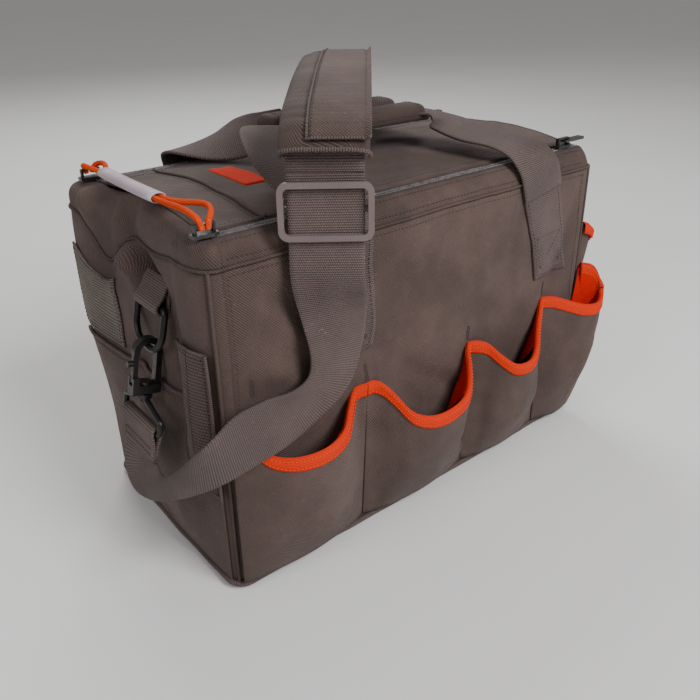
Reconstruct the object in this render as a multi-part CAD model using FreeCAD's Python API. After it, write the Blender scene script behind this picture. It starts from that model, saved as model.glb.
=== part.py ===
"""Soft-sided kit bag: box body, two-zip lid, front pockets, carry handles and a padded shoulder strap.

Millimetres. X runs along the bag, the pockets face -Y, Z is up. The origin is on the floor, under the
middle of the body.
"""
import FreeCAD
import Part
import math
import os

V = FreeCAD.Vector

# ---- driving dimensions -------------------------------------------------------------------------
LENGTH = 410.0            # body, end panel to end panel
DEPTH = 210.0             # body, front panel to back panel
SEAM_Z = 266.0            # seam between the side panels and the top
WALL = 4.0                # padded side panels
BASE_T = 3.0              # base cloth
BOARD_T = 3.0             # stiffener in the base
ZIP_Z = 284.0             # top face of the zip tapes
LID_CROWN = 8.0           # rise of the lid between the zips
CLOTH = 3.0               # top strips and lid
ZIP_OUT = 95.0            # outer edge of a zip tape, from the middle of the bag
ZIP_IN = 88.0             # inner edge
LID_SEAM_X = -147.0       # cross seam, where the lid's end section folds
LID_LEFT_X = -194.5       # free end of that section
LID_RIGHT_X = 195.0
FLAP_GAP = 1.7            # that end stops this far short, so that it clears the strip as it drops
WEB_W = 50.0              # webbing width
WEB_T = 2.2               # webbing thickness
SLIDER_LEFT_X = -196.0    # left zip sliders, closed
SLIDER_RIGHT_X = 172.0    # right zip sliders, closed
CORD_D = 4.2              # one strand of the pull cord
GRIP_Y = 19.0             # handle grips, each side of the middle
GRIP_Z = 323.0
HANDLE_Y = 107.5          # free handle webbing, just outside the panels
HANDLE_Z = 262.5          # where the handle webbing leaves its sewn patch
RING_X = -212.0           # bar of the left D-ring
RING_Y = -32.0
RING_Z = 224.0
RING_TILT = 13.6          # the left D-ring leans out by this angle, in degrees
HOOK_TILT = 12.0          # the left hook hangs outwards by this angle
RING_DROP = 33.0          # ring bar to the ring's bottom wire
PIVOT_DROP = 22.0         # bight centre to the gate pin
RUN_X, RUN_Y = -128.0, -129.0     # upright run of the strap in front of the bag
SLIDE_Z = 297.0           # middle of the strap's slide adjuster
CORNER_X = LENGTH / 2
CORNER_Y = DEPTH / 2

SHAPES = {}


def add(node, shape):
    SHAPES[node] = shape


def box(x0, x1, y0, y1, z0, z1):
    return Part.makeBox(x1 - x0, y1 - y0, z1 - z0, V(x0, y0, z0))


def face_of(points):
    return Part.Face(Part.makePolygon(points + [points[0]]))


def prism_x(yz, x0, x1):
    return face_of([V(x0, y, z) for y, z in yz]).extrude(V(x1 - x0, 0, 0))


def prism_y(xz, y0, y1):
    return face_of([V(x, y0, z) for x, z in xz]).extrude(V(0, y1 - y0, 0))


def turned(shape):
    """The same piece at the opposite end and side of the bag."""
    copy = shape.copy()
    copy.rotate(V(0, 0, 0), V(0, 0, 1), 180)
    return copy


def mirrored(shape):
    """The same piece on the back of the bag, straight across from the front one."""
    return shape.mirror(V(0, 0, 0), V(0, 1, 0))


def fused(*shapes):
    return shapes[0].multiFuse(list(shapes[1:])).removeSplitter()


def cylinder(base, axis, radius, length):
    return Part.makeCylinder(radius, length, base, axis)


def ribbon(stations, width, thick, lift=0.0):
    """Flat webbing through stations of (centre, width direction), lifted off its middle plane."""
    centres = [V(*c) for c, _ in stations]
    wires = []
    for i, (_, across) in enumerate(stations):
        along = centres[min(i + 1, len(centres) - 1)] - centres[max(i - 1, 0)]
        side = V(*across)
        side.normalize()
        normal = along.cross(side)
        normal.normalize()
        middle = centres[i] + normal * lift
        corners = [middle + side * (a * width / 2) + normal * (b * thick / 2)
                   for a, b in ((-1, -1), (1, -1), (1, 1), (-1, 1))]
        wires.append(Part.makePolygon(corners + [corners[0]]))
    return Part.makeLoft(wires, True, True)


def cord(points, diameter, name):
    """A tube of straight runs joined by tangent arcs; prints each arc's radius."""
    route = [V(*p) for p in points]
    edges, radii, start = [], [], route[0]
    for before, corner, after in zip(route, route[1:], route[2:]):
        run_in, run_out = (before - corner), (after - corner)
        half_turn = (math.pi - run_in.getAngle(run_out)) / 2
        reach = 0.45 * min(run_in.Length, run_out.Length)
        radii.append(reach / math.tan(half_turn))
        run_in.normalize()
        run_out.normalize()
        first, last = corner + run_in * reach, corner + run_out * reach
        inward = run_in + run_out
        inward.normalize()
        middle = corner + inward * (radii[-1] * (1 / math.cos(half_turn) - 1))
        edges += [Part.LineSegment(start, first).toShape(), Part.Arc(first, middle, last).toShape()]
        start = last
    edges.append(Part.LineSegment(start, route[-1]).toShape())
    path = Part.Wire(edges)
    section = Part.Wire([Part.makeCircle(diameter / 2, route[0], route[1] - route[0])])
    tube = path.makePipeShell([section], True, False)
    expected = path.Length * math.pi * diameter ** 2 / 4
    print(name, "length", round(path.Length, 1), "radii", [round(r) for r in radii],
          "volume / expected", round(tube.Volume / expected, 4))
    return tube


def rod_loop(corners, radii, rod_radius):
    """A closed loop of round rod in one plane, its corners rounded."""
    points = [V(*p) for p in corners]
    count = len(points)
    ends = []
    for i in range(count):
        back = points[i - 1] - points[i]
        ahead = points[(i + 1) % count] - points[i]
        half_turn = (math.pi - back.getAngle(ahead)) / 2
        reach = radii[i] * math.tan(half_turn)
        back.normalize()
        ahead.normalize()
        inward = back + ahead
        inward.normalize()
        middle = points[i] + inward * (radii[i] * (1 / math.cos(half_turn) - 1))
        ends.append((points[i] + back * reach, middle, points[i] + ahead * reach))
    edges = []
    for i in range(count):
        edges.append(Part.Arc(*ends[i]).toShape())
        edges.append(Part.LineSegment(ends[i][2], ends[(i + 1) % count][0]).toShape())
    first_line = edges[1]
    start = first_line.Vertexes[0].Point
    heading = first_line.Vertexes[1].Point - start
    edges = edges[1:] + edges[:1]
    path = Part.Wire(edges)
    section = Part.Wire([Part.makeCircle(rod_radius, start, heading)])
    return path.makePipeShell([section], True, False)


# ---- body ---------------------------------------------------------------------------------------
def make_body():
    add("base_panel", box(-CORNER_X, CORNER_X, -CORNER_Y, CORNER_Y, 0, BASE_T))
    inside_x, inside_y = CORNER_X - WALL, CORNER_Y - WALL
    add("base_board", box(-inside_x + 2, inside_x - 2, -inside_y + 2, inside_y - 2,
                          BASE_T, BASE_T + BOARD_T))
    front = box(-CORNER_X, CORNER_X, -CORNER_Y, -inside_y, BASE_T, SEAM_Z)
    left = box(-CORNER_X, -inside_x, -inside_y, inside_y, BASE_T, SEAM_Z)
    add("front_panel", front)
    add("back_panel", turned(front))
    add("left_end_panel", left)
    add("right_end_panel", turned(left))
    slope = 3.0
    strip = [(-CORNER_Y, SEAM_Z), (-ZIP_OUT - slope, ZIP_Z), (-ZIP_OUT, ZIP_Z),
             (-CORNER_Y + CLOTH, SEAM_Z)]
    front_strip = prism_x(strip, -CORNER_X, CORNER_X)
    add("front_top_strip", front_strip)
    add("back_top_strip", turned(front_strip))
    end_strip = [(-CORNER_X, SEAM_Z), (LID_LEFT_X - slope - 0.5, ZIP_Z), (LID_LEFT_X - 0.5, ZIP_Z),
                 (-CORNER_X + CLOTH, SEAM_Z)]
    left_strip = prism_y(end_strip, -ZIP_OUT + 0.3, ZIP_OUT - 0.3)
    add("left_top_strip", left_strip)
    add("right_top_strip", turned(left_strip))


def lid_section(x0, x1, half_width):
    """Crowned cloth panel between the zips."""
    def arc(drop):
        ends = ZIP_Z - drop
        return Part.Arc(V(x0, -half_width, ends), V(x0, 0, ends + LID_CROWN), V(x0, half_width, ends)).toShape()
    upper, lower = arc(0), arc(CLOTH)
    sides = [Part.LineSegment(V(x0, s * half_width, ZIP_Z - CLOTH), V(x0, s * half_width, ZIP_Z)).toShape()
             for s in (-1, 1)]
    wire = Part.Wire([lower, sides[1], upper, sides[0]])
    return Part.Face(wire).extrude(V(x1 - x0, 0, 0))


def make_lid():
    add("main_lid", lid_section(LID_SEAM_X + 0.5, LID_RIGHT_X, ZIP_IN))
    add("lid_end_flap", lid_section(LID_LEFT_X + FLAP_GAP, LID_SEAM_X, ZIP_IN - 0.5))


# ---- zips ---------------------------------------------------------------------------------------
def make_zips():
    end_x = LID_RIGHT_X
    tape = box(-end_x, end_x, -ZIP_OUT, -ZIP_IN, ZIP_Z - 1.4, ZIP_Z)
    coil = box(-end_x, end_x, -ZIP_OUT + 1, -ZIP_IN - 1, ZIP_Z, ZIP_Z + 1.2)
    add("front_zip_tape", tape)
    add("back_zip_tape", turned(tape))
    add("front_zip_coil", coil)
    add("back_zip_coil", turned(coil))
    for side, y in (("front", -1), ("back", 1)):
        add("zip_slider_left_" + side, zip_slider(SLIDER_LEFT_X, y * (ZIP_OUT + ZIP_IN) / 2))
        add("zip_slider_right_" + side, zip_slider(SLIDER_RIGHT_X, y * (ZIP_OUT + ZIP_IN) / 2))
        add("zip_puller_" + side, zip_puller(y * (ZIP_OUT + ZIP_IN) / 2))


SLIDER_Z = ZIP_Z + 1.6    # underside of a slider's upper wing
BRIDGE_Z = SLIDER_Z + 2.4


def zip_slider(x, y):
    """The upper wing of a slider, with the bridge that holds its cord or puller."""
    wing = prism_wing(x, y)
    post_a = box(x - 7.6, x - 5.8, y - 1.6, y + 1.6, BRIDGE_Z, BRIDGE_Z + 5.0)
    post_b = box(x + 5.8, x + 7.6, y - 1.6, y + 1.6, BRIDGE_Z, BRIDGE_Z + 5.0)
    bar = box(x - 7.6, x + 7.6, y - 1.6, y + 1.6, BRIDGE_Z + 5.0, BRIDGE_Z + 6.3)
    return fused(wing, post_a, post_b, bar)


def prism_wing(x, y):
    outline = [V(x - 9, y - 3.6, SLIDER_Z), V(x + 5, y - 4.8, SLIDER_Z), V(x + 9, y - 3.2, SLIDER_Z),
               V(x + 9, y + 3.2, SLIDER_Z), V(x + 5, y + 4.8, SLIDER_Z), V(x - 9, y + 3.6, SLIDER_Z)]
    return face_of(outline).extrude(V(0, 0, BRIDGE_Z - SLIDER_Z))


def zip_puller(y):
    """Flat moulded puller lying towards the end of the bag, its loop round the bridge bar."""
    x = SLIDER_RIGHT_X + 1.2
    z = BRIDGE_Z + 3.0
    inner_bar = box(x, x + 2.0, y - 3.4, y + 3.4, z - 1.0, z + 1.0)
    arms = [box(x, x + 9.0, y + side - 0.6, y + side + 0.6, z - 1.0, z + 1.0) for side in (-2.8, 2.8)]
    blade = box(x + 8.4, x + 27.0, y - 3.4, y + 3.4, z - 1.2, z + 1.2)
    return fused(inner_bar, blade, *arms)


# ---- pull cord ----------------------------------------------------------------------------------
TUBE_Z = 296.8
TUBE_Y0, TUBE_Y1 = -30.0, 60.0


def make_pull():
    x = SLIDER_LEFT_X
    half = CORD_D / 2 + 0.15
    low = BRIDGE_Z + 2.6
    strand_a = [(x - half, -93.5, low), (x - half, -86, low + 0.3), (x - half - 1.5, -73, 295),
                (x - half + 0.5, -58, 296.6), (x - half, -42, TUBE_Z), (x - half - 0.05, -14, TUBE_Z),
                (x - half, 18, TUBE_Z), (x - half - 0.05, 46, TUBE_Z), (x - half, 65, TUBE_Z),
                (x - half - 5, 76, 295.6), (x - half - 2, 86, low + 0.5), (x - half, 93.5, low)]
    strand_b = [(x + half, -93.5, low), (x + half + 0.5, -86, low + 0.3), (x + half + 8.5, -74, 295),
                (x + half + 9, -58, 296.6), (x + half + 1, -44, TUBE_Z), (x + half, -22, TUBE_Z + 0.05),
                (x + half + 0.05, 8, TUBE_Z), (x + half, 38, TUBE_Z), (x + half + 0.05, 64, TUBE_Z),
                (x + half + 5, 76, 295.6), (x + half + 2, 86, low + 0.5), (x + half, 93.5, low)]
    add("pull_cord_a", cord(strand_a, CORD_D, "pull_cord_a"))
    add("pull_cord_b", cord(strand_b, CORD_D, "pull_cord_b"))
    outer = stadium(5.9, 3.9)
    inner = stadium(5.0, 2.5)
    add("pull_grip_tube", outer.cut(inner))


def stadium(half_x, half_z):
    """Flattened tube blank along Y, round sides, for the pull grip."""
    x, flat = SLIDER_LEFT_X, half_x - half_z
    top = Part.LineSegment(V(x - flat, TUBE_Y0, TUBE_Z + half_z), V(x + flat, TUBE_Y0, TUBE_Z + half_z))
    right = Part.Arc(V(x + flat, TUBE_Y0, TUBE_Z + half_z), V(x + half_x, TUBE_Y0, TUBE_Z),
                     V(x + flat, TUBE_Y0, TUBE_Z - half_z))
    bottom = Part.LineSegment(V(x + flat, TUBE_Y0, TUBE_Z - half_z), V(x - flat, TUBE_Y0, TUBE_Z - half_z))
    left = Part.Arc(V(x - flat, TUBE_Y0, TUBE_Z - half_z), V(x - half_x, TUBE_Y0, TUBE_Z),
                    V(x - flat, TUBE_Y0, TUBE_Z + half_z))
    wire = Part.Wire([e.toShape() for e in (top, right, bottom, left)])
    return Part.Face(wire).extrude(V(0, TUBE_Y1 - TUBE_Y0, 0))


# ---- front pockets ------------------------------------------------------------------------------
DIVIDERS = (-203.0, -81.0, 40.0, 144.0)            # stitch lines between the first three pockets
RIMS = (118.0, 102.0, 107.0)                       # top of each front wall
DIVIDER_TOPS = (156.0, 142.0, 136.0, 148.0)        # top of the side pleats at the panel
POCKET_OUT = 30.0                                  # how far a rim stands off the panel
POCKET_FOOT = 7.0                                  # the same at the base seam
PLEAT_SPLAY = 16.0                                 # a pleat leans in by this at the rim
DIP_OUT = 13.0                                     # a pleat's top edge bends this far off the panel
POCKET_T = 2.0
BINDING_H = 1.4                                    # binding above the cloth's edge
BINDING_T = 3.4


def wall(first, last, thick):
    """Cloth wall between two upright edges, each given as (bottom point, top point)."""
    corners = [V(*p) for p in (first[0], last[0], last[1], first[1])]
    across = (corners[1] - corners[0] + corners[2] - corners[3])
    upward = (corners[3] - corners[0] + corners[2] - corners[1])
    normal = across.cross(upward)
    normal.normalize()
    shift = normal * thick
    wires = []
    for low, high in ((corners[0], corners[3]), (corners[1], corners[2])):
        wires.append(Part.makePolygon([low, high, high + shift, low + shift, low]))
    return Part.makeLoft(wires, True, True)


def pleat_edge(x, side, out, z):
    """A point on the pleat that starts at x, this far off the panel."""
    return (x + side * PLEAT_SPLAY * out / POCKET_OUT, -CORNER_Y - out, z)


def pleat(x, side, rim, top):
    """Side wall in two facets: side is +1 where the pocket lies towards +X of it."""
    dip_z = rim + 0.25 * (top - rim)
    edges = [(pleat_edge(x, side, 0, BASE_T), pleat_edge(x, side, 0, top)),
             (pleat_edge(x, side, 0.45 * POCKET_FOOT, BASE_T), pleat_edge(x, side, DIP_OUT, dip_z)),
             (pleat_edge(x, side, POCKET_FOOT, BASE_T), pleat_edge(x, side, POCKET_OUT, rim))]
    return [wall(a, b, -side * POCKET_T) for a, b in zip(edges, edges[1:])]


def binding_bar(a, b, thick):
    """Folded tape over the top edge from a to b."""
    lift = V(0, 0, 0.25)
    low_a, low_b = V(*a) + lift, V(*b) + lift
    high = V(0, 0, BINDING_H)
    across = (low_b - low_a).cross(high)
    across.normalize()
    start = low_a - across * (thick / 2)
    end = low_b - across * (thick / 2)
    return face_of([start, end, end + high, start + high]).extrude(across * thick)


def make_pockets():
    pleats, bindings = [], []
    for i, rim in enumerate(RIMS):
        x0, x1 = DIVIDERS[i] + 2.4, DIVIDERS[i + 1] - 2.4
        tops = DIVIDER_TOPS[i], DIVIDER_TOPS[i + 1]
        foot, brim = POCKET_FOOT + 0.4, POCKET_OUT + 0.4
        left = (pleat_edge(x0, 1, foot, BASE_T), pleat_edge(x0, 1, brim, rim))
        right = (pleat_edge(x1, -1, foot, BASE_T), pleat_edge(x1, -1, brim, rim))
        add("pocket_%d_front" % (i + 1), wall(left, right, POCKET_T))
        pleats += pleat(x0, 1, rim, tops[0]) + pleat(x1, -1, rim, tops[1])
        front_y = V(0, -POCKET_T / 2, 0)
        bindings.append(binding_bar(V(*left[1]) + front_y, V(*right[1]) + front_y, BINDING_T))
        for x, side, top in ((x0 - POCKET_T / 2, 1, tops[0]), (x1 + POCKET_T / 2, -1, tops[1])):
            dip = pleat_edge(x, side, DIP_OUT, rim + 0.25 * (top - rim))
            bindings.append(binding_bar(pleat_edge(x, side, 1.0, top), dip, BINDING_T))
            bindings.append(binding_bar(dip, pleat_edge(x, side, POCKET_OUT - 1.5, rim), BINDING_T))
    corner_walls, corner_bindings = corner_pocket()
    add("pocket_4_front", corner_walls[1])
    pleats += [corner_walls[0], corner_walls[2]]
    behind = fused(box(-250, 250, -CORNER_Y, 0, 0, SEAM_Z), box(-250, 250, -200, 0, -20, BASE_T))
    pleats = [piece.cut(behind) for piece in pleats]
    cloth = Part.makeCompound(pleats + [SHAPES["pocket_%d_front" % i] for i in (1, 2, 3, 4)])
    bindings = [bar.cut(behind).cut(cloth) for bar in bindings + corner_bindings]
    add("pocket_pleats", Part.makeCompound(pleats))
    add("pocket_binding", Part.makeCompound(bindings))


def corner_pocket():
    """The last pocket, which bulges past the body's corner: inner pleat, front wall, outer pleat."""
    panel_y = -CORNER_Y
    edges = [((146.4, panel_y, BASE_T), (146.4, panel_y, 148.0)),
             ((148.5, panel_y - 6.0, BASE_T), (158.0, panel_y - 20.0, 134.0)),
             ((203.0, panel_y - 7.0, BASE_T), (218.0, panel_y - 26.0, 132.0)),
             ((203.4, panel_y, BASE_T), (203.4, panel_y, 156.0))]
    walls = [wall(edges[0], edges[1], -POCKET_T), wall(edges[1], edges[2], POCKET_T),
             wall(edges[2], edges[3], POCKET_T)]
    tops = [V(*top) for _, top in edges]
    shifts = [(V(-1.0, -0.6, 0), V(-1.0, 0.6, 0)), (V(1.5, -1, 0), V(-1.5, -1, 0)), (V(0.9, 1.8, 0), V(0.9, -1.2, 0))]
    bars = [binding_bar(tops[i] + a, tops[i + 1] + b, BINDING_T - 0.8) for i, (a, b) in enumerate(shifts)]
    return walls, bars


# ---- end pockets and patches --------------------------------------------------------------------
SIDE_Y0, SIDE_Y1 = -101.0, -34.0      # right-end pocket
SIDE_RIM = 192.0
SIDE_FLOOR = 60.0
SIDE_OUT = 32.0


def make_end_fittings():
    x = CORNER_X
    wall = prism_y([(x + 4, SIDE_FLOOR), (x + SIDE_OUT, SIDE_RIM), (x + SIDE_OUT - 2.2, SIDE_RIM),
                    (x + 1.8, SIDE_FLOOR)], SIDE_Y0, SIDE_Y1)
    floor = box(x, x + 4, SIDE_Y0, SIDE_Y1, SIDE_FLOOR - 2, SIDE_FLOOR)
    add("side_pocket_wall", fused(wall, floor))
    side = [(x, SIDE_FLOOR + 1), (x + 1.6, SIDE_FLOOR + 1), (x + SIDE_OUT - 2.4, SIDE_RIM),
            (x, SIDE_RIM + 14)]
    add("side_pocket_pleats", Part.makeCompound([prism_y(side, SIDE_Y0, SIDE_Y0 + 2),
                                                 prism_y(side, SIDE_Y1 - 2, SIDE_Y1)]))
    binding = [box(x + SIDE_OUT - 2.6, x + SIDE_OUT + 0.4, SIDE_Y0, SIDE_Y1, SIDE_RIM + 0.1, SIDE_RIM + 1.6)]
    for y0 in (SIDE_Y0, SIDE_Y1 - 2):
        binding.append(prism_y([(x, SIDE_RIM + 14.1), (x + SIDE_OUT - 2.8, SIDE_RIM + 0.3),
                                (x + SIDE_OUT - 2.8, SIDE_RIM + 1.8), (x, SIDE_RIM + 15.8)], y0, y0 + 2))
    add("side_pocket_binding", Part.makeCompound(binding))
    slip_top = 158.0
    add("left_slip_pocket", box(-x - 2.4, -x - 0.6, -100, 100, BASE_T, slip_top))
    sheath = [(-x - 2.6, 88.0), (-x - 7.0, 92.0), (-x - 7.0, 208.0), (-x - 5.0, 208.0), (-x - 5.0, 93.0),
              (-x - 2.6, 90.5)]
    add("tool_sheath", prism_y(sheath, -101, -66))
    add("hook_loop_field", box(-x - 1.6, -x, 26, 98, 165, 236))


# ---- handles ------------------------------------------------------------------------------------
def make_handles():
    y, z = -HANDLE_Y, HANDLE_Z
    left_x, right_x, right_foot = -97.0, 127.0, 152.0     # the right leg leans in over its patch
    left_leg = [((left_x, y, z), (1, 0, 0)), ((left_x, y, 278), (1, 0, 0)), ((-100, -103.5, 291), (1, 0, 0)),
                ((-104, -93, 298.6), (1, 0, 0)), ((-111, -72, 304.5), (1, 0, 0)), ((-112, -42, 315), (1, 0, 0)),
                ((-102, -18, 321), (1, 0, 0)), ((left_x, -5, 321.5), (1, 0, 0))]
    right_leg = [((right_x, y, z), (1, 0, 0)), ((121.5, y, 278), (1, 0, 0)), ((113, -103.5, 291), (1, 0.03, 0)),
                 ((102, -93, 298.6), (0.99, 0.12, 0)), ((85, -72, 302.5), (0.95, 0.3, 0)),
                 ((79, -42, 310), (1, 0, 0)), ((78.5, -18, 319.5), (1, 0, 0)), ((78, -5, 321.5), (1, 0, 0))]
    web = Part.makeCompound([ribbon(left_leg, WEB_W, WEB_T), ribbon(right_leg, WEB_W, WEB_T)])
    grip_x0, grip_x1 = left_x + WEB_W / 2 + 0.3, 78 - WEB_W / 2 - 0.3
    grip = grip_bar(grip_x0, grip_x1)
    patch_y = -CORNER_Y
    half, low, high = WEB_W / 2, 172, z - 0.4
    patches = [prism_y([(foot - half, low), (foot + half, low), (top + half, high), (top - half, high)],
                       patch_y - WEB_T, patch_y) for foot, top in ((left_x, left_x), (right_foot, right_x))]
    patch = Part.makeCompound(patches)
    add("front_handle_web", web)
    add("back_handle_web", mirrored(web))
    add("front_grip", grip)
    add("back_grip", mirrored(grip))
    add("front_handle_patches", patch)
    add("back_handle_patches", mirrored(patch))


def grip_bar(x0, x1):
    """Padded grip: a flattened roll of cloth along X, its long edges rounded."""
    half_y, half_z, round_r = 14.0, 8.0, 6.5
    bar = box(x0, x1, -GRIP_Y - half_y, -GRIP_Y + half_y, GRIP_Z - half_z, GRIP_Z + half_z)
    along = [e for e in bar.Edges if abs(e.tangentAt(e.FirstParameter).x) > 0.9]
    return bar.makeFillet(round_r, along)


# ---- D-rings, snap hooks and strap ends ----------------------------------------------------------
ROD = 2.5                 # D-ring wire radius
RING_HALF = 21.0          # half the D-ring's width, between its wires' centres
TAB_W = 35.0              # webbing that holds the D-ring
BIGHT_IN = 6.5            # inner radius of the hook's bight
BIGHT_OUT = 11.0
EYE_DROP = 56.0           # bight centre to the eye's bar
END_LENGTH = 22.0         # folded strap end, from the eye's bar
LEAN = math.radians(RING_TILT)
WIRE = V(RING_X - RING_DROP * math.sin(LEAN), RING_Y, RING_Z - RING_DROP * math.cos(LEAN))


def hung(shape):
    """Tilt a piece of the hook, modelled upright under the ring's bottom wire, to its hanging angle."""
    shape.rotate(WIRE, V(0, 1, 0), HOOK_TILT)
    return shape


def hang_point(drop):
    """A point on the hook's own axis, this far below the bight's centre."""
    tilt = math.radians(HOOK_TILT)
    reach = drop + BIGHT_IN - ROD - 0.4
    return (WIRE.x - reach * math.sin(tilt), WIRE.y, WIRE.z - reach * math.cos(tilt))


def make_end_hardware():
    for side, place in (("left", lambda shape: shape), ("right", turned)):
        add(side + "_ring_tab", place(ring_tab()))
        add(side + "_d_ring", place(d_ring()))
        add(side + "_snap_hook", place(hung(snap_hook())))
        add(side + "_hook_gate", place(hung(hook_gate())))
        add(side + "_swivel_eye", place(hung(swivel_eye())))
        add(side + "_strap_end", place(hung(strap_end())))


def ring_tab():
    """Webbing folded round the D-ring's bar and sewn to the end panel."""
    y0, y1 = RING_Y - TAB_W / 2, RING_Y + TAB_W / 2
    inner, outer = ROD + 0.4, ROD + 0.4 + WEB_T
    ring = cylinder(V(RING_X, y0, RING_Z), V(0, 1, 0), outer, TAB_W)
    ring = ring.cut(box(RING_X - 10, RING_X + 10, y0, y1, RING_Z, RING_Z + 10))
    front = box(RING_X - outer, RING_X - inner, y0, y1, RING_Z, RING_Z + 6)
    top = prism_y([(RING_X - outer, RING_Z + 6), (RING_X - inner, RING_Z + 6), (-CORNER_X - WEB_T, RING_Z + 14),
                   (-CORNER_X - WEB_T, RING_Z + 17)], y0, y1)
    back = prism_y([(-CORNER_X, RING_Z - 1), (RING_X + inner, RING_Z - 1), (RING_X + inner, RING_Z + 8),
                    (-CORNER_X - WEB_T, RING_Z + 13), (-CORNER_X - WEB_T, SEAM_Z - 4), (-CORNER_X, SEAM_Z - 4)],
                   y0, y1)
    bore = cylinder(V(RING_X, y0, RING_Z), V(0, 1, 0), inner, TAB_W)
    return fused(ring, front, top, back).cut(bore)


def d_ring():
    y0, y1 = RING_Y - RING_HALF, RING_Y + RING_HALF
    bottom = RING_Z - RING_DROP
    loop = rod_loop([(RING_X, y0, RING_Z), (RING_X, y1, RING_Z), (RING_X, y1, bottom), (RING_X, y0, bottom)],
                    [3.5, 3.5, 17.0, 17.0], ROD)
    loop.rotate(V(RING_X, RING_Y, RING_Z), V(0, 1, 0), RING_TILT)
    return loop


def bight_centre():
    return V(WIRE.x, WIRE.y, WIRE.z - (BIGHT_IN - ROD - 0.4))


def snap_hook():
    """Hook body: bight over the ring, spine, and a base drilled for the swivel stem."""
    x, y, z = bight_centre()
    inner, outer, half_t = BIGHT_IN, BIGHT_OUT, 3.0
    at = V(x, y - half_t, z)
    ring = cylinder(at, V(0, 1, 0), outer, 2 * half_t).cut(cylinder(at, V(0, 1, 0), inner, 2 * half_t))
    ring = ring.cut(box(x - 20, x + 20, y - 5, y + 5, z - 20, z))
    nose = box(x - outer, x - inner, y - half_t, y + half_t, z - 2, z)
    spine = box(x + inner, x + outer, y - half_t, y + half_t, z - 26, z)
    base = box(x - outer, x + outer, y - 4.5, y + 4.5, z - 33, z - 26)
    ears = box(x - outer, x - inner + 0.4, y - 4.5, y + 4.5, z - 26, z - PIVOT_DROP + 2.5)
    slot = box(x - outer - 1, x - inner + 0.4, y - 2.4, y + 2.4, z - 26, z)
    stem_bore = cylinder(V(x, y, z - 34), V(0, 0, 1), 3.08, 12)
    return fused(ring, nose, spine, base, ears.cut(slot)).cut(stem_bore)


def hook_gate():
    """Spring gate with a thumb stud, hung between the base's ears."""
    x, y, z = bight_centre()
    leaf = box(x - 10.6, x - 6.9, y - 2.1, y + 2.1, z - PIVOT_DROP - 1.7, z - 2.4)
    stud = cylinder(V(x - 10.6, y, z - 9), V(-1, 0, 0), 2.2, 4)
    return fused(leaf, stud)


def swivel_eye():
    """Stem through the hook's base, with its rivet head, and the wide eye that carries the strap."""
    x, y, z = bight_centre()
    rod = 2.2
    stem = cylinder(V(x, y, z - 40), V(0, 0, 1), 3.0, 15)
    head = cylinder(V(x, y, z - 25.7), V(0, 0, 1), 4.6, 2)
    flange = cylinder(V(x, y, z - 36.5), V(0, 0, 1), 6.0, 3.2)
    loop = rod_loop([(x, y, z - 36), (x, y + 29, z - 46), (x, y + 27.8, z - EYE_DROP), (x, y - 27.8, z - EYE_DROP),
                     (x, y - 29, z - 46)], [5, 3, 3, 3, 3], rod)
    return fused(stem, head, flange, loop)


def strap_end():
    """Strap webbing folded round the eye's bar and stitched to itself."""
    centre = bight_centre()
    x, z = centre.x, centre.z - EYE_DROP
    y0, y1 = RING_Y - WEB_W / 2, RING_Y + WEB_W / 2
    inner = 2.2 + 0.35
    outer = inner + WEB_T
    tail = z - END_LENGTH
    profile = fused(cylinder(V(x, y0, z), V(0, 1, 0), outer, WEB_W),
                    prism_y([(x - outer, z), (x + outer, z), (x + WEB_T, tail), (x - WEB_T, tail)], y0, y1))
    hollow = fused(cylinder(V(x, y0, z), V(0, 1, 0), inner, WEB_W),
                   prism_y([(x - inner, z), (x + inner, z), (x + 0.2, tail + 12), (x - 0.2, tail + 12)], y0, y1))
    return profile.cut(hollow)


# ---- shoulder strap -----------------------------------------------------------------------------
ALONG_X, ALONG_Y = 0.65, 0.76         # heading of the strap's arch over the bag, seen from above
ACROSS = (0.76, -0.65, 0.0)           # width direction on the arch
RUN_ACROSS = (0.78, -0.62, 0.0)       # width direction on the upright run

# From the left eye, down, round the front corner and up the front: centre and width direction.
END_LOOP = [((-240, -36, 98), (-0.15, 0.88, -0.45)), ((-243, -54, 94), (-0.15, 0.74, -0.66)),
            ((-245, -86, 109), (-0.02, 0.60, -0.80)), ((-241, -119, 134), (0.12, 0.44, -0.89)),
            ((-227, -135, 149), (0.24, 0.28, -0.93)), ((-202, -131, 153), (0.27, 0.08, -0.96)),
            ((-173, -123, 150), (0.32, 0.07, -0.95)), ((-145, -120, 152), (0.56, 0.20, -0.80)),
            ((-122, -119, 164), (0.85, 0.16, -0.50)), ((-114, -119, 188), (0.98, 0.05, -0.15))]
FRONT_RISE = [((-118, -122, 219), (0.96, -0.28, 0.0)), ((RUN_X, RUN_Y, 250), RUN_ACROSS),
              ((RUN_X, RUN_Y, 322), RUN_ACROSS)]
# Over the lid and down the back: distance along the arch and height.
ARCH = [(0, 322.4), (1, 331), (6, 338), (15, 343), (32, 348), (62, 352), (98, 356), (140, 358.5), (176, 359.5),
        (206, 359), (236, 355), (255, 346)]
BACK_FALL = [((41, 79, 335), (0.84, -0.54, 0)), ((42, 96, 318), (0.92, -0.39, 0)), ((42, 108, 301), (0.97, -0.24, 0)),
             ((42, 114, 276), (1, -0.05, 0)), ((42, 115, 240), (1, 0, 0)), ((43, 116, 205), (0.99, 0, 0.1)), ((56, 117, 174), (0.82, 0, 0.57)),
             ((82, 118, 155), (0.5, 0, 0.87)), ((115, 119, 149), (0.1, 0, 0.99)), ((146, 120, 149), (0.14, 0, 0.98))]


def arch_station(u, z):
    return ((RUN_X + ALONG_X * u, RUN_Y + ALONG_Y * u, z), ACROSS)


def opposite(station):
    (x, y, z), (a, b, c) = station
    return ((-x, -y, z), (a, b, -c))


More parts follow.
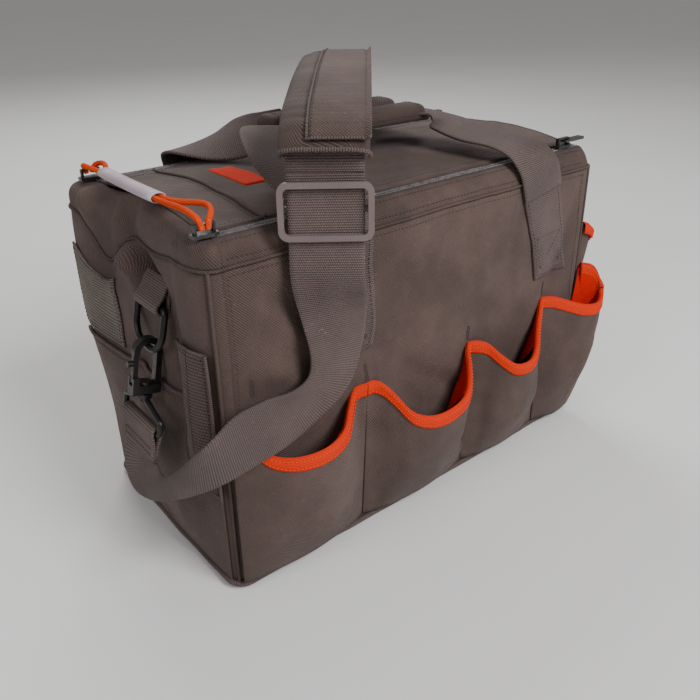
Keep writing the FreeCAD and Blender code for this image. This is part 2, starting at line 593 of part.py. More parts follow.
PAD_W = 57.0
PAD_T = 10.0
PAD_STATIONS = 10         # the pad covers this many of the arch's stations, from the second on


def make_strap():
    tail = (hang_point(EYE_DROP + END_LENGTH + 0.8), (0, 1, 0))
    start = (hang_point(EYE_DROP + END_LENGTH + 3.0), (0, 1, -0.05))
    front = [tail, start] + END_LOOP + FRONT_RISE
    add("strap_front", ribbon(front, WEB_W, WEB_T))
    arch = [arch_station(u, z) for u, z in ARCH]
    back_end = [opposite(s) for s in reversed(END_LOOP[:7])] + [opposite(start), opposite(tail)]
    add("strap_back", ribbon(arch + BACK_FALL + back_end, WEB_W, WEB_T))
    padded = arch[1:PAD_STATIONS + 1]
    gap = 0.3
    add("shoulder_pad", ribbon(padded, PAD_W, PAD_T, -(WEB_T + PAD_T) / 2 - gap))
    add("pad_cover", ribbon(padded, PAD_W, 1.8, (WEB_T + 1.8) / 2 + gap))


def rounded_plate(half_w, half_h, radius, y0, y1):
    plate = box(-half_w, half_w, y0, y1, -half_h, half_h)
    return plate.makeFillet(radius, [e for e in plate.Edges if abs(e.tangentAt(e.FirstParameter).y) > 0.9])


def make_strap_slide():
    """Adjuster: an open frame in front of the webbing and one bar behind it."""
    half_w, half_h, bar = 31.0, 19.5, 4.0
    front, back = -(WEB_T / 2 + 0.4), WEB_T / 2 + 0.4
    outer = rounded_plate(half_w, half_h, 7.0, front - 3, front)
    hole = rounded_plate(half_w - bar, half_h - bar, 3.5, front - 4, front + 1)
    cheeks = [box(x - 2.0, x + 2.0, front - 3, back + 3, -7, 7) for x in (-half_w + 2, half_w - 2)]
    middle = box(-half_w, half_w, back, back + 3, -bar / 2, bar / 2)
    frame = fused(outer.cut(hole), *cheeks, middle)
    frame.rotate(V(0, 0, 0), V(0, 0, 1), math.degrees(math.atan2(RUN_ACROSS[1], RUN_ACROSS[0])))
    frame.translate(V(RUN_X, RUN_Y, SLIDE_Z))
    add("strap_slide", frame)


def main():
    os.makedirs("parts", exist_ok=True)
    make_body()
    make_lid()
    make_zips()
    make_pull()
    make_pockets()
    make_end_fittings()
    make_handles()
    make_end_hardware()
    make_strap()
    make_strap_slide()
    for node, shape in SHAPES.items():
        solids = len(shape.Solids)
        print("%-24s solids %d volume %9.1f valid %s" % (node, solids, shape.Volume, shape.isValid()))
        shape.exportStep("parts/" + node + ".step")
    print(len(SHAPES), "nodes")


main()
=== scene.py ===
import math

import bpy
import bmesh
from mathutils import Matrix, Vector, noise


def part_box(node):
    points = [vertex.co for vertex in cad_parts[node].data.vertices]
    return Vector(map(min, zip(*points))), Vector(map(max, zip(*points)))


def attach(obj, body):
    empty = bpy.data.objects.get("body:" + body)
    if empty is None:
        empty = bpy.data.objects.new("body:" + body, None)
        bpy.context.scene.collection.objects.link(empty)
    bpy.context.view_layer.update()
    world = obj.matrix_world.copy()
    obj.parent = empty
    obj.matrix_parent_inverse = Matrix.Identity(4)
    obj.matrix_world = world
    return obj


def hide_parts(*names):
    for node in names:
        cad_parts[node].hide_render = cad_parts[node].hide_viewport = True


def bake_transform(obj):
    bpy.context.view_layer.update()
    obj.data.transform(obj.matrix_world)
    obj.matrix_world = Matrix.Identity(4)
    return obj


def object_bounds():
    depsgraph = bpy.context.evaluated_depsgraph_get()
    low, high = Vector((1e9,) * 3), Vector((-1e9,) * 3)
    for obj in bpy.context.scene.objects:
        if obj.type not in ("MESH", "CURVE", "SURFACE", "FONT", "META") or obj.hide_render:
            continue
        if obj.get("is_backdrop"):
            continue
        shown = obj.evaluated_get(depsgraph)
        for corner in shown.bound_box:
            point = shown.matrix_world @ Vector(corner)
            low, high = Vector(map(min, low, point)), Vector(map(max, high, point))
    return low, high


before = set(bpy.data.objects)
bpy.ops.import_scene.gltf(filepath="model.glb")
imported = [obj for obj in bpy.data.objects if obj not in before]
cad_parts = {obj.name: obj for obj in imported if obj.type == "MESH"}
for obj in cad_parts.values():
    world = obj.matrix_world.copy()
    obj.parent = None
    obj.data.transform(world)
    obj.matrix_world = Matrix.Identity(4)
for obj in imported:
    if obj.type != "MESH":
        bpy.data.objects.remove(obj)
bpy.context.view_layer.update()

MM = 0.001               # points below are in millimetres until a mesh is made


def box_mm(node):
    low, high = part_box(node)
    return low / MM, high / MM


# ---- driving sizes, read from the frame -----------------------------------------------------------
PANEL_LOW, PANEL_HIGH = box_mm("front_panel")
HALF_X = PANEL_HIGH.x                      # end panel face
HALF_Y = -PANEL_LOW.y                      # front panel face
SEAM_Z = PANEL_HIGH.z                      # seam under the top strips
TAPE_LOW, TAPE_HIGH = box_mm("front_zip_tape")
ZIP_Z = TAPE_HIGH.z
ZIP_OUT, ZIP_IN = -TAPE_LOW.y, -TAPE_HIGH.y
ZIP_Y = (ZIP_OUT + ZIP_IN) / 2
LID_LOW, LID_HIGH = box_mm("main_lid")
FLAP_LOW, FLAP_HIGH = box_mm("lid_end_flap")
WEB_LOW, WEB_HIGH = box_mm("left_strap_end")
WEB_W = WEB_HIGH.y - WEB_LOW.y
WEB_T = 2.2
CORNER_R = 11.0                            # rounding of the body's upright corners


# ---- mesh helpers -------------------------------------------------------------------------------
def make_object(name, points, faces, materials, uvs=None):
    """A mesh object from points in millimetres; uvs are per point, in metres along the cloth."""
    mesh = bpy.data.meshes.new(name)
    mesh.from_pydata([Vector(p) * MM for p in points], [], faces)
    for material in materials if isinstance(materials, (list, tuple)) else [materials]:
        mesh.materials.append(material)
    if uvs:
        layer = mesh.uv_layers.new(name="weave")
        for loop in mesh.loops:
            layer.data[loop.index].uv = uvs[loop.vertex_index]
    mesh.polygons.foreach_set("use_smooth", [True] * len(mesh.polygons))
    obj = bpy.data.objects.new(name, mesh)
    bpy.context.scene.collection.objects.link(obj)
    return obj


def grid_faces(rows, columns, wrap_columns=False, wrap_rows=False):
    faces = []
    for r in range(rows if wrap_rows else rows - 1):
        for c in range(columns if wrap_columns else columns - 1):
            r2, c2 = (r + 1) % rows, (c + 1) % columns
            faces.append((r * columns + c, r * columns + c2, r2 * columns + c2, r2 * columns + c))
    return faces


def grid_uvs(rows):
    """Metres along the cloth: across from the longest row, along from the middle column."""
    count = len(rows[0])
    widest = max(rows, key=lambda r: sum((r[i + 1] - r[i]).length for i in range(count - 1)))
    across = [0.0]
    for a, b in zip(widest, widest[1:]):
        across.append(across[-1] + (b - a).length)
    along = [0.0]
    for a, b in zip(rows, rows[1:]):
        along.append(along[-1] + (b[count // 2] - a[count // 2]).length)
    return [(across[c] * MM, along[r] * MM) for r in range(len(rows)) for c in range(count)]


def cloth_grid(name, rows, materials, thick=0.0, lining=None):
    """A cloth surface from rows of points; thick gives it a body, whose inner side may have a lining."""
    points = [p for row in rows for p in row]
    obj = make_object(name, points, grid_faces(len(rows), len(rows[0])), materials, grid_uvs(rows))
    if thick:
        if lining:
            obj.data.materials.append(lining)
        solid = obj.modifiers.new("body", "SOLIDIFY")
        solid.thickness = thick * MM
        solid.offset = -1.0
        solid.material_offset = 1 if lining else 0
    return obj


def face_outwards(obj, outward):
    """Flip the grid's faces if its middle one looks away from outward."""
    polygons = obj.data.polygons
    middle = polygons[len(polygons) // 2]
    if middle.normal.dot(outward) < 0:
        obj.data.flip_normals()


def smooth_path(points, per_span=8):
    """Catmull-Rom through the points, and through any numbers that ride with them."""
    data = [tuple(p) for p in points]
    path = []
    for i in range(len(data) - 1):
        a, b, c, d = data[max(i - 1, 0)], data[i], data[i + 1], data[min(i + 2, len(data) - 1)]
        for k in range(per_span):
            t = k / per_span
            path.append(tuple(0.5 * (2 * q + (r - p) * t + (2 * p - 5 * q + 4 * r - s) * t * t
                                     + (3 * q - p - 3 * r + s) * t ** 3) for p, q, r, s in zip(a, b, c, d)))
    path.append(data[-1])
    return path


def ribbon(name, stations, material, width=WEB_W, thick=WEB_T, per_span=8, widths=None, lift=0.0):
    """Webbing along (centre, across) stations: flat faces, rounded selvedges."""
    data = []
    for i, (centre, across) in enumerate(stations):
        w = widths[i] if widths else width
        data.append((*centre, *Vector(across).normalized(), w))
    path = smooth_path(data, per_span)
    centres = [Vector(p[:3]) for p in path]
    section = [(-1, -0.25), (-0.985, 0.5), (-0.93, 0.62), (-0.85, 0.5), (-0.45, 0.5), (0, 0.5), (0.45, 0.5),
               (0.85, 0.5), (0.93, 0.62), (0.985, 0.5), (1, -0.25), (0.985, -0.5), (0.85, -0.5), (0.45, -0.5),
               (0, -0.5), (-0.45, -0.5), (-0.85, -0.5), (-0.985, -0.5)]
    rows, uvs, run = [], [], 0.0
    for i, p in enumerate(path):
        along = centres[min(i + 1, len(path) - 1)] - centres[max(i - 1, 0)]
        side = Vector(p[3:6]).normalized()
        normal = along.cross(side).normalized()
        if i:
            run += (centres[i] - centres[i - 1]).length
        rows.append([centres[i] + side * (a * p[6] / 2) + normal * (b * thick + lift) for a, b in section])
        uvs += [((a + 1) * p[6] / 2 * MM, run * MM) for a, b in section]
    points = [q for row in rows for q in row]
    columns = len(section)
    faces = grid_faces(len(rows), columns, wrap_columns=True)
    faces += [tuple(range(columns))[::-1], tuple((len(rows) - 1) * columns + c for c in range(columns))]
    obj = make_object(name, points, faces, material, uvs)
    recalculate(obj)
    return obj


def recalculate(obj):
    bm = bmesh.new()
    bm.from_mesh(obj.data)
    bmesh.ops.recalc_face_normals(bm, faces=bm.faces)
    bm.to_mesh(obj.data)
    bm.free()


def tube(name, points, radius, material, sides=8, per_span=2):
    """A round bar along a smooth path."""
    centres = [Vector(p) for p in smooth_path(points, per_span)]
    count = len(centres)
    rows, uvs, run = [], [], 0.0
    up = Vector((0, 0, 1))
    for i in range(count):
        along = (centres[min(i + 1, count - 1)] - centres[max(i - 1, 0)]).normalized()
        if abs(along.dot(up)) > 0.93:
            up = Vector((0, 1, 0)) if abs(along.y) < 0.9 else Vector((1, 0, 0))
        side = along.cross(up).normalized()
        up = side.cross(along).normalized()
        if i:
            run += (centres[i] - centres[i - 1]).length
        rows.append([centres[i] + side * (radius * math.cos(a)) + up * (radius * math.sin(a))
                     for a in (2 * math.pi * k / sides for k in range(sides))])
        uvs += [(2 * math.pi * radius * k / sides * MM, run * MM) for k in range(sides)]
    faces = grid_faces(count, sides, wrap_columns=True)
    faces += [tuple(range(sides))[::-1], tuple((count - 1) * sides + c for c in range(sides))]
    obj = make_object(name, [q for row in rows for q in row], faces, material, uvs)
    recalculate(obj)
    return obj


def place(obj, body, slot, *nodes):
    """Put a piece on its body and hide the CAD nodes it stands for; slot is not used."""
    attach(obj, body)
    if nodes:
        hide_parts(*nodes)
    return obj


# ---- stitching ------------------------------------------------------------------------------------
stitch_sets = {}


def stitch_row(body, kind, points, normals, pitch=3.6, length=2.5, radius=0.36):
    """Thread stitches along a row of points, standing on the cloth."""
    verts, faces = stitch_sets.setdefault((body, kind), ([], []))
    points = [Vector(p) for p in points]
    travelled, target = 0.0, pitch * 0.5
    for i in range(len(points) - 1):
        a, b = points[i], points[i + 1]
        span = (b - a).length
        if span < 1e-6:
            continue
        along = (b - a) / span
        normal = Vector(normals[i] if isinstance(normals, list) else normals).normalized()
        side = along.cross(normal).normalized()
        while target <= travelled + span:
            middle = a + along * (target - travelled) + normal * radius * 0.4
            base = len(verts)
            verts += [middle - along * length / 2, middle + side * radius, middle + normal * radius,
                      middle - side * radius, middle - normal * radius, middle + along * length / 2]
            for k in range(4):
                first, second = base + 1 + k, base + 1 + (k + 1) % 4
                faces += [(base, second, first), (base + 5, first, second)]
            target += pitch
        travelled += span


def box_stitch(body, kind, corners, normal):
    """A sewn box with its cross, as on load-bearing webbing."""
    a, b, c, d = [Vector(p) for p in corners]
    for p, q in ((a, b), (b, c), (c, d), (d, a), (a, c), (b, d)):
        steps = [p + (q - p) * (k / 6) for k in range(7)]
        stitch_row(body, kind, steps, normal)


# ---- materials ------------------------------------------------------------------------------------
class Nodes:
    """A small wrapper that keeps material code readable."""

    def __init__(self, name):
        self.material = bpy.data.materials.new(name)
        self.material.use_nodes = True
        self.tree = self.material.node_tree
        self.bsdf = self.tree.nodes["Principled BSDF"]

    def add(self, kind, **settings):
        node = self.tree.nodes.new(kind)
        for key, value in settings.items():
            setattr(node, key, value)
        return node

    def link(self, source, target):
        self.tree.links.new(source, target)

    def math(self, operation, a, b=None):
        node = self.add("ShaderNodeMath", operation=operation)
        for socket, value in zip(node.inputs, (a, b)):
            if isinstance(value, (int, float)):
                socket.default_value = value
            elif value is not None:
                self.link(value, socket)
        return node.outputs[0]

    def noise(self, vector, scale, detail=3.0, roughness=0.55):
        node = self.add("ShaderNodeTexNoise")
        node.inputs["Scale"].default_value = scale
        node.inputs["Detail"].default_value = detail
        node.inputs["Roughness"].default_value = roughness
        self.link(vector, node.inputs["Vector"])
        return node.outputs["Fac"]

    def ramp(self, value, low, high, first=0.0, last=1.0):
        node = self.add("ShaderNodeMapRange", clamp=True)
        for socket, number in zip(("From Min", "From Max", "To Min", "To Max"), (low, high, first, last)):
            node.inputs[socket].default_value = number
        self.link(value, node.inputs["Value"])
        return node.outputs[0]

    def mix(self, factor, first, second):
        node = self.add("ShaderNodeMix", data_type="RGBA")
        if isinstance(factor, float):
            node.inputs[0].default_value = factor
        else:
            self.link(factor, node.inputs[0])
        for index, value in ((6, first), (7, second)):
            if isinstance(value, tuple):
                node.inputs[index].default_value = (*value, 1.0)
            else:
                self.link(value, node.inputs[index])
        return node.outputs[2]

    def bump(self, height, distance, strength=1.0):
        node = self.add("ShaderNodeBump")
        node.inputs["Strength"].default_value = strength
        node.inputs["Distance"].default_value = distance
        self.link(height, node.inputs["Height"])
        self.link(node.outputs[0], self.bsdf.inputs["Normal"])

    def object_coords(self):
        return self.add("ShaderNodeTexCoord").outputs["Object"]

    def weave_axes(self):
        """The cloth's own two directions, in metres."""
        split = self.add("ShaderNodeSeparateXYZ")
        self.link(self.add("ShaderNodeUVMap", uv_map="weave").outputs[0], split.inputs[0])
        return split.outputs[0], split.outputs[1]

    def wave(self, value, pitch):
        return self.math("SINE", self.math("MULTIPLY", value, 2 * math.pi / pitch))

    def finish(self, rough, sheen=0.0, metallic=0.0, specular=0.5):
        if isinstance(rough, float):
            self.bsdf.inputs["Roughness"].default_value = rough
        else:
            self.link(rough, self.bsdf.inputs["Roughness"])
        self.bsdf.inputs["Sheen Weight"].default_value = sheen
        self.bsdf.inputs["Metallic"].default_value = metallic
        self.bsdf.inputs["Specular IOR Level"].default_value = specular
        return self.material


def woven(name, dark, light, pitch=0.0011, depth=0.00025, dust=0.35, rough=0.8, sheen=0.06, rib=False,
          specular=0.25):
    """Woven cloth: twill or ribbed threads, faded areas, lint and dust."""
    n = Nodes(name)
    u, v = n.weave_axes()
    coords = n.object_coords()
    if rib:
        pattern = n.math("ADD", n.math("MULTIPLY", n.wave(v, pitch), 0.6),
                         n.math("MULTIPLY", n.math("MULTIPLY", n.wave(u, pitch * 0.9), n.wave(v, pitch * 2)), 0.5))
    else:
        diagonal = n.wave(n.math("ADD", u, v), pitch * 1.6)
        threads = n.math("MULTIPLY", n.wave(u, pitch), n.wave(v, pitch))
        pattern = n.math("ADD", n.math("MULTIPLY", diagonal, 0.55), n.math("MULTIPLY", threads, 0.45))
    grain = n.noise(coords, 900.0, 2.0)
    thread = n.ramp(n.math("ADD", pattern, n.math("MULTIPLY", grain, 0.9)), -0.7, 1.4)
    colour = n.mix(thread, dark, light)
    faded = tuple(min(1.0, c * 1.75) for c in light)
    worn = n.ramp(n.noise(coords, 13.0, 5.0, 0.65), 0.42, 0.75, 0.0, dust)
    colour = n.mix(worn, colour, faded)
    lint = n.ramp(n.noise(coords, 420.0, 1.0), 0.73, 0.80, 0.0, 0.25)
    colour = n.mix(lint, colour, tuple(min(1.0, c * 3.0 + 0.01) for c in light))
    n.link(colour, n.bsdf.inputs["Base Color"])
    height = n.math("ADD", pattern, n.math("MULTIPLY", n.noise(coords, 60.0, 3.0), 1.2))
    n.bump(height, depth)
    return n.finish(n.ramp(n.noise(coords, 40.0), 0.3, 0.7, rough - 0.08, rough + 0.06), sheen, specular=specular)


def moulded(name, dark, light, rough=0.5, metallic=0.0, scratch=0.12, scale=220.0):
    """Coated metal or moulded plastic with fine grain, rubbed edges and dust."""
    n = Nodes(name)
    coords = n.object_coords()
    edge = n.ramp(n.add("ShaderNodeNewGeometry").outputs["Pointiness"], 0.51, 0.58)
    rubbed = n.math("MULTIPLY", edge, n.ramp(n.noise(coords, scale, 4.0), 0.4, 0.65, 0.1, scratch))
    colour = n.mix(n.ramp(n.noise(coords, 35.0, 4.0), 0.25, 0.9), dark, light)
    colour = n.mix(rubbed, colour, tuple(min(1.0, c * 3 + 0.05) for c in light))
    n.link(colour, n.bsdf.inputs["Base Color"])
    n.bump(n.noise(coords, scale * 5, 3.0), 0.00008, 0.6)
    return n.finish(n.ramp(n.noise(coords, scale), 0.3, 0.7, rough - 0.1, rough + 0.12), metallic=metallic)


CLOTH = woven("pack_cloth", (0.010, 0.0068, 0.006), (0.128, 0.083, 0.071), pitch=0.0013)
TOP_CLOTH = woven("top_cloth", (0.008, 0.0055, 0.005), (0.104, 0.067, 0.057), pitch=0.0013, dust=0.5)
LINING = woven("inner_cloth", (0.008, 0.006, 0.006), (0.022, 0.017, 0.016), pitch=0.0014, dust=0.1)
WEBBING = woven("webbing", (0.010, 0.0078, 0.0074), (0.148, 0.104, 0.096), pitch=0.0017, depth=0.0003, rib=True,
                dust=0.25)
SHEATH = woven("sheath_webbing", (0.006, 0.0045, 0.004), (0.125, 0.080, 0.067), pitch=0.0026, depth=0.0004,
               rib=True)
BINDING = woven("orange_binding", (0.50, 0.012, 0.001), (0.86, 0.042, 0.003), pitch=0.0013, rib=True, dust=0.0,
                sheen=0.0, rough=0.7, specular=0.12)
ORANGE_LINING = woven("orange_lining", (0.42, 0.006, 0.001), (0.70, 0.014, 0.002), pitch=0.0013, dust=0.0,
                      sheen=0.0, rough=0.75, specular=0.12)
ZIP_CLOTH = woven("zip_tape", (0.010, 0.009, 0.010), (0.075, 0.063, 0.064), pitch=0.0010, rib=True, dust=0.1)
LOOP_PILE = woven("loop_pile", (0.010, 0.0085, 0.008), (0.185, 0.155, 0.128), pitch=0.0030, depth=0.0007, rib=True,
                  dust=0.4, rough=0.95)
PAD_CLOTH = woven("pad_cloth", (0.008, 0.0058, 0.0052), (0.110, 0.074, 0.064), pitch=0.0020, depth=0.0004, rib=True,
                  dust=0.45)
COIL = moulded("zip_coil", (0.045, 0.038, 0.038), (0.17, 0.145, 0.143), rough=0.3, scratch=0.3)
METAL = moulded("black_metal", (0.016, 0.015, 0.015), (0.050, 0.046, 0.045), rough=0.34, metallic=0.75)
PULLER = moulded("puller_plastic", (0.010, 0.010, 0.011), (0.030, 0.029, 0.030), rough=0.5)
SLIDE = moulded("slide_plastic", (0.085, 0.062, 0.060), (0.135, 0.100, 0.097), rough=0.36, scratch=0.1)
TUBE = moulded("grip_tube", (0.30, 0.235, 0.275), (0.44, 0.35, 0.40), rough=0.55, scratch=0.2)
BOARD = moulded("base_board", (0.020, 0.020, 0.020), (0.040, 0.039, 0.038), rough=0.6)
THREAD = moulded("thread", (0.010, 0.008, 0.008), (0.040, 0.030, 0.027), rough=0.7, scratch=0.0)
ORANGE_THREAD = moulded("orange_thread", (0.95, 0.10, 0.015), (1.0, 0.20, 0.04), rough=0.6, scratch=0.0)


def cord_material():
    """Braided orange cord."""
    n = Nodes("pull_cord")
    coords = n.object_coords()
    split = n.add("ShaderNodeSeparateXYZ")
    n.link(coords, split.inputs[0])
    braid = n.math("MULTIPLY", n.wave(n.math("ADD", split.outputs[1], split.outputs[0]), 0.0018),
                   n.wave(n.math("SUBTRACT", split.outputs[1], split.outputs[2]), 0.0018))
    colour = n.mix(n.ramp(braid, -0.8, 0.9), (0.52, 0.024, 0.001), (0.86, 0.088, 0.003))
    colour = n.mix(n.ramp(n.noise(coords, 90.0), 0.4, 0.7, 0.0, 0.5), colour, (0.66, 0.042, 0.002))
    n.link(colour, n.bsdf.inputs["Base Color"])
    n.bump(braid, 0.0003)
    return n.finish(0.7, specular=0.15)


CORD = cord_material()


# ---- the cloth body -------------------------------------------------------------------------------
def hill(value, centre, spread):
    return math.exp(-((value - centre) / spread) ** 2)


def arc(f):
    """Half a sine wave: 0 at both ends, 1 in the middle."""
    return max(0.0, math.sin(math.pi * min(1.0, max(0.0, f))))


def fade(value, low, high):
    """Smooth step from 0 at low to 1 at high."""
    t = min(1.0, max(0.0, (value - low) / (high - low)))
    return t * t * (3 - 2 * t)


def wrinkle(a, b, seed, size=45.0):
    """Soft folds in the cloth, about one unit high."""
    coarse = noise.noise(Vector((a / size, b / size * 0.8, seed)))
    fine = noise.noise(Vector((a / size * 2.6, b / size * 2.1, seed + 5.3)))
    return coarse + 0.35 * fine


def one_side_out(side, t, z):
    """How far the cloth of one side stands off its CAD panel; t runs along it, in the frame's own axis."""
    half = HALF_X if side in ("front", "back") else HALF_Y
    edge = fade(half - abs(t), 0, 35) * fade(z, 0, 30)
    upper = fade(SEAM_Z - z, 0, 30)
    full = {"front": 4.0, "back": 7.0, "left": 9.0, "right": 7.0}[side]
    belly = full * (1 - (t / half) ** 2) * arc(z / SEAM_Z) ** 0.7
    seed = {"front": 1.0, "back": 21.0, "left": 41.0, "right": 61.0}[side]
    folds = (4.2 if side == "front" else 4.8) * wrinkle(t, z, seed, 52) * edge * (0.3 + 0.7 * upper)
    folds += 0.9 * wrinkle(t + 0.4 * z, z, seed + 7, 17) * edge
    out = belly + folds
    if side == "left":
        out += 10.0 * fade(t, 10, 95) * fade(z, 60, 200)
        out -= 24.0 * hill(t + 0.9 * (244 - z), -20, 14) * hill(z, 243, 15)
        out += 10.0 * hill(t + 0.9 * (254 - z), 12, 11) * hill(z, 250, 15)
        out += 5.0 * hill(t, 66, 22) * hill(z, 236, 30)
        out += 6.0 * hill(t, -84, 16) * hill(z, 240, 34)
        out -= 6.0 * hill(t, -58, 8) * hill(z, 190, 46)
        out -= 5.0 * hill(t - 0.5 * (150 - z), 10, 12) * hill(z, 150, 70)
    if side == "back":
        out += 3.0 * fade(-t, 120, 200) * fade(z, 60, 200)
    if side == "front":
        out += 3.0 * hill((t + 150) * 0.7 + (z - 215) * 0.7, 0, 8) * edge
        out -= 3.4 * hill((t + 120) * 0.6 + (z - 205) * 0.8, 0, 10) * edge
        out += 2.2 * hill((t + 178) * 0.5 + (z - 190) * 0.8, 0, 7) * edge
        out -= 3.0 * hill((t - 175) * 0.9 - (z - 205) * 0.4, 0, 9) * edge
        out += 3.0 * hill((t - 60) * 0.5 + (z - 190) * 0.86, 0, 26) * edge
        out -= 2.4 * hill((t - 95) * 0.94 - (z - 220) * 0.34, 0, 7) * hill(z, 225, 30)
    return out


def cloth_out(side, x, y, z):
    """The same at any point of the rim; at a corner the side is a pair with the share of the second."""
    if isinstance(side, tuple):
        first, second, share = side
        return cloth_out(first, x, y, z) * (1 - share) + cloth_out(second, x, y, z) * share
    return one_side_out(side, x if side in ("front", "back") else y, z)


def seam_drop(x, y):
    """How much the left end's top seam sags."""
    return (31.0 * hill(y, 41, 24) + 7.0 * hill(y, -30, 34)) * fade(-x, 165, 203)


def strip_edge(x, y, side):
    """Inner edge of the top strips: beside a zip, or just short of the lid at the ends."""
    rise = 7.4 * max(0.0, 1 - (y / ZIP_IN) ** 2) if side in ("left", "right") else 0.0
    dip = 4.0 * hill(y, 44, 30) if side == "left" else 0.0
    return Vector((min(max(x, FLAP_LOW.x - 1.2), LID_HIGH.x), min(max(y, -ZIP_OUT), ZIP_OUT), ZIP_Z + rise - dip))


def perimeter(step=4.0):
    """Points round the body as (x, y, outward normal, side), from the front left corner on."""
    rim = []
    flat_x, flat_y = HALF_X - CORNER_R, HALF_Y - CORNER_R

    def straight(start, end, normal, side):
        count = int((end - start).length / step)
        for k in range(count):
            p = start + (end - start) * (k / count)
            rim.append((p.x, p.y, normal, side))

    def corner(centre, first, side_a, side_b):
        for k in range(7):
            angle = first + math.radians(90) * k / 7
            normal = Vector((math.cos(angle), math.sin(angle), 0))
            p = centre + normal * CORNER_R
            rim.append((p.x, p.y, normal, (side_a, side_b, k / 7)))

    straight(Vector((-flat_x, -HALF_Y, 0)), Vector((flat_x, -HALF_Y, 0)), Vector((0, -1, 0)), "front")
    corner(Vector((flat_x, -flat_y, 0)), math.radians(-90), "front", "right")
    straight(Vector((HALF_X, -flat_y, 0)), Vector((HALF_X, flat_y, 0)), Vector((1, 0, 0)), "right")
    corner(Vector((flat_x, flat_y, 0)), 0, "right", "back")
    straight(Vector((flat_x, HALF_Y, 0)), Vector((-flat_x, HALF_Y, 0)), Vector((0, 1, 0)), "back")
    corner(Vector((-flat_x, flat_y, 0)), math.radians(90), "back", "left")
    straight(Vector((-HALF_X, flat_y, 0)), Vector((-HALF_X, -flat_y, 0)), Vector((-1, 0, 0)), "left")
    corner(Vector((-flat_x, -flat_y, 0)), math.radians(180), "left", "front")
    return rim


def body_point(x, y, normal, side, z):
    drop = seam_drop(x, y) * fade(z / SEAM_Z, 0.78, 1.0)
    return Vector((x, y, z - drop)) + normal * cloth_out(side, x, y, z)


def on_side(side, t, z, off=0.0):
    """A point on the cloth of one side, t along it and z up, this far off the cloth."""
    x, y, normal = {"front": (t, -HALF_Y, Vector((0, -1, 0))), "back": (t, HALF_Y, Vector((0, 1, 0))),
                    "left": (-HALF_X, t, Vector((-1, 0, 0))), "right": (HALF_X, t, Vector((1, 0, 0)))}[side]
    return body_point(x, y, normal, side, z) + normal * off


rim = perimeter()
heights = [5.0, 7.5, 10] + [15 + k * (SEAM_Z - 15) / 56 for k in range(57)]
shell_rows = []
for k in (0.72, 0.95):
    shell_rows.append([Vector((x * k, y * k, 3.6)) for x, y, n, side in rim])
for inset, z in ((4.5, 3.0), (1.4, 3.0)):
    shell_rows.append([Vector((x, y, z)) - n * inset for x, y, n, side in rim])
for z in heights:
    shell_rows.append([body_point(x, y, n, side, z) for x, y, n, side in rim])
shell_rows = [row + row[:1] for row in shell_rows]
shell = cloth_grid("bag_shell", shell_rows, CLOTH, 3.0, LINING)
face_outwards(shell, shell.data.polygons[len(shell.data.polygons) // 2].center)
place(shell, "bag", "pack_cloth", "front_panel", "back_panel", "left_end_panel", "right_end_panel")

base_points = [Vector((x, y, 0)) - n * 6 for x, y, n, side in rim]
base_rows = [[p * k + Vector((0, 0, 1.2)) for p in base_points + base_points[:1]]
             for k in (1.0, 0.8, 0.5, 0.25, 0.01)]
base = cloth_grid("bag_base", base_rows, CLOTH, 0.0)
place(base, "bag", "pack_cloth", "base_panel")


def strip_roll(x, y):
    """How far the top strips belly out between seam and zip."""
    roll = 2.2 + 1.8 * wrinkle(x * 1.1 + 9, y * 1.1, 81, 30)
    left_roll = 5.0 + 6.0 * wrinkle(y, 4, 91, 26) + 5.0 * hill(y, 62, 22) - 5.0 * hill(y, 8, 12)
    return roll + fade(-x, 185, 200) * left_roll


top_rows = []
for j in range(13):
    f = j / 12
    row = []
    for x, y, n, side in rim:
        low = body_point(x, y, n, side, SEAM_Z)
        high = strip_edge(x, y, side)
        puff = math.sin(math.pi * f)
        roll = strip_roll(x, y)
        row.append(low.lerp(high, f) + (n * 0.8 + Vector((0, 0, 0.7))) * roll * puff)
    top_rows.append(row + row[:1])
top = cloth_grid("top_strips", top_rows, TOP_CLOTH, 1.6, LINING)
face_outwards(top, Vector((0, 0, 1)))
place(top, "bag", "pack_cloth", "front_top_strip", "back_top_strip", "left_top_strip", "right_top_strip")


def bead(name, points, radius, material, slot="pack_cloth"):
    """A sewn seam ridge or piping along the cloth."""
    return place(tube(name, points, radius, material), "bag", slot)


def ring_points(z, off):
    return [body_point(x, y, n, side, z) + n * off for x, y, n, side in rim]


seam_ring = ring_points(SEAM_Z, 0.5)
bead("top_seam_piping", seam_ring + seam_ring[:1], 1.3, TOP_CLOTH)
base_ring = [p + Vector((0, 0, 0.9 * noise.noise(p * 0.03))) for p in ring_points(5.5, 2.2)]
bead("base_seam_piping", base_ring + base_ring[:1], 2.3, WEBBING, slot="webbing")
for label, (sx, sy) in {"front_left": (-1, -1), "front_right": (1, -1),
                        "back_left": (-1, 1), "back_right": (1, 1)}.items():
    middle = CORNER_R * (1 - math.sqrt(0.5))
    line = []
    for k in range(28):
        z = 5 + (SEAM_Z - 5) * k / 27
        sides = ("front" if sy < 0 else "back", "left" if sx < 0 else "right", 0.5)
        out = Vector((sx, sy, 0)).normalized()
        line.append(body_point(sx * (HALF_X - middle), sy * (HALF_Y - middle), out, sides, z) + out * 0.7)
    bead("corner_seam_" + label, line, 1.5, CLOTH)
    side = "front" if sy < 0 else "back"
    row = [on_side(side, sx * (HALF_X - CORNER_R - 4), 12 + (SEAM_Z - 18) * k / 60, 0.2) for k in range(61)]
    stitch_row("bag", "thread", row, Vector((0, sy, 0)))

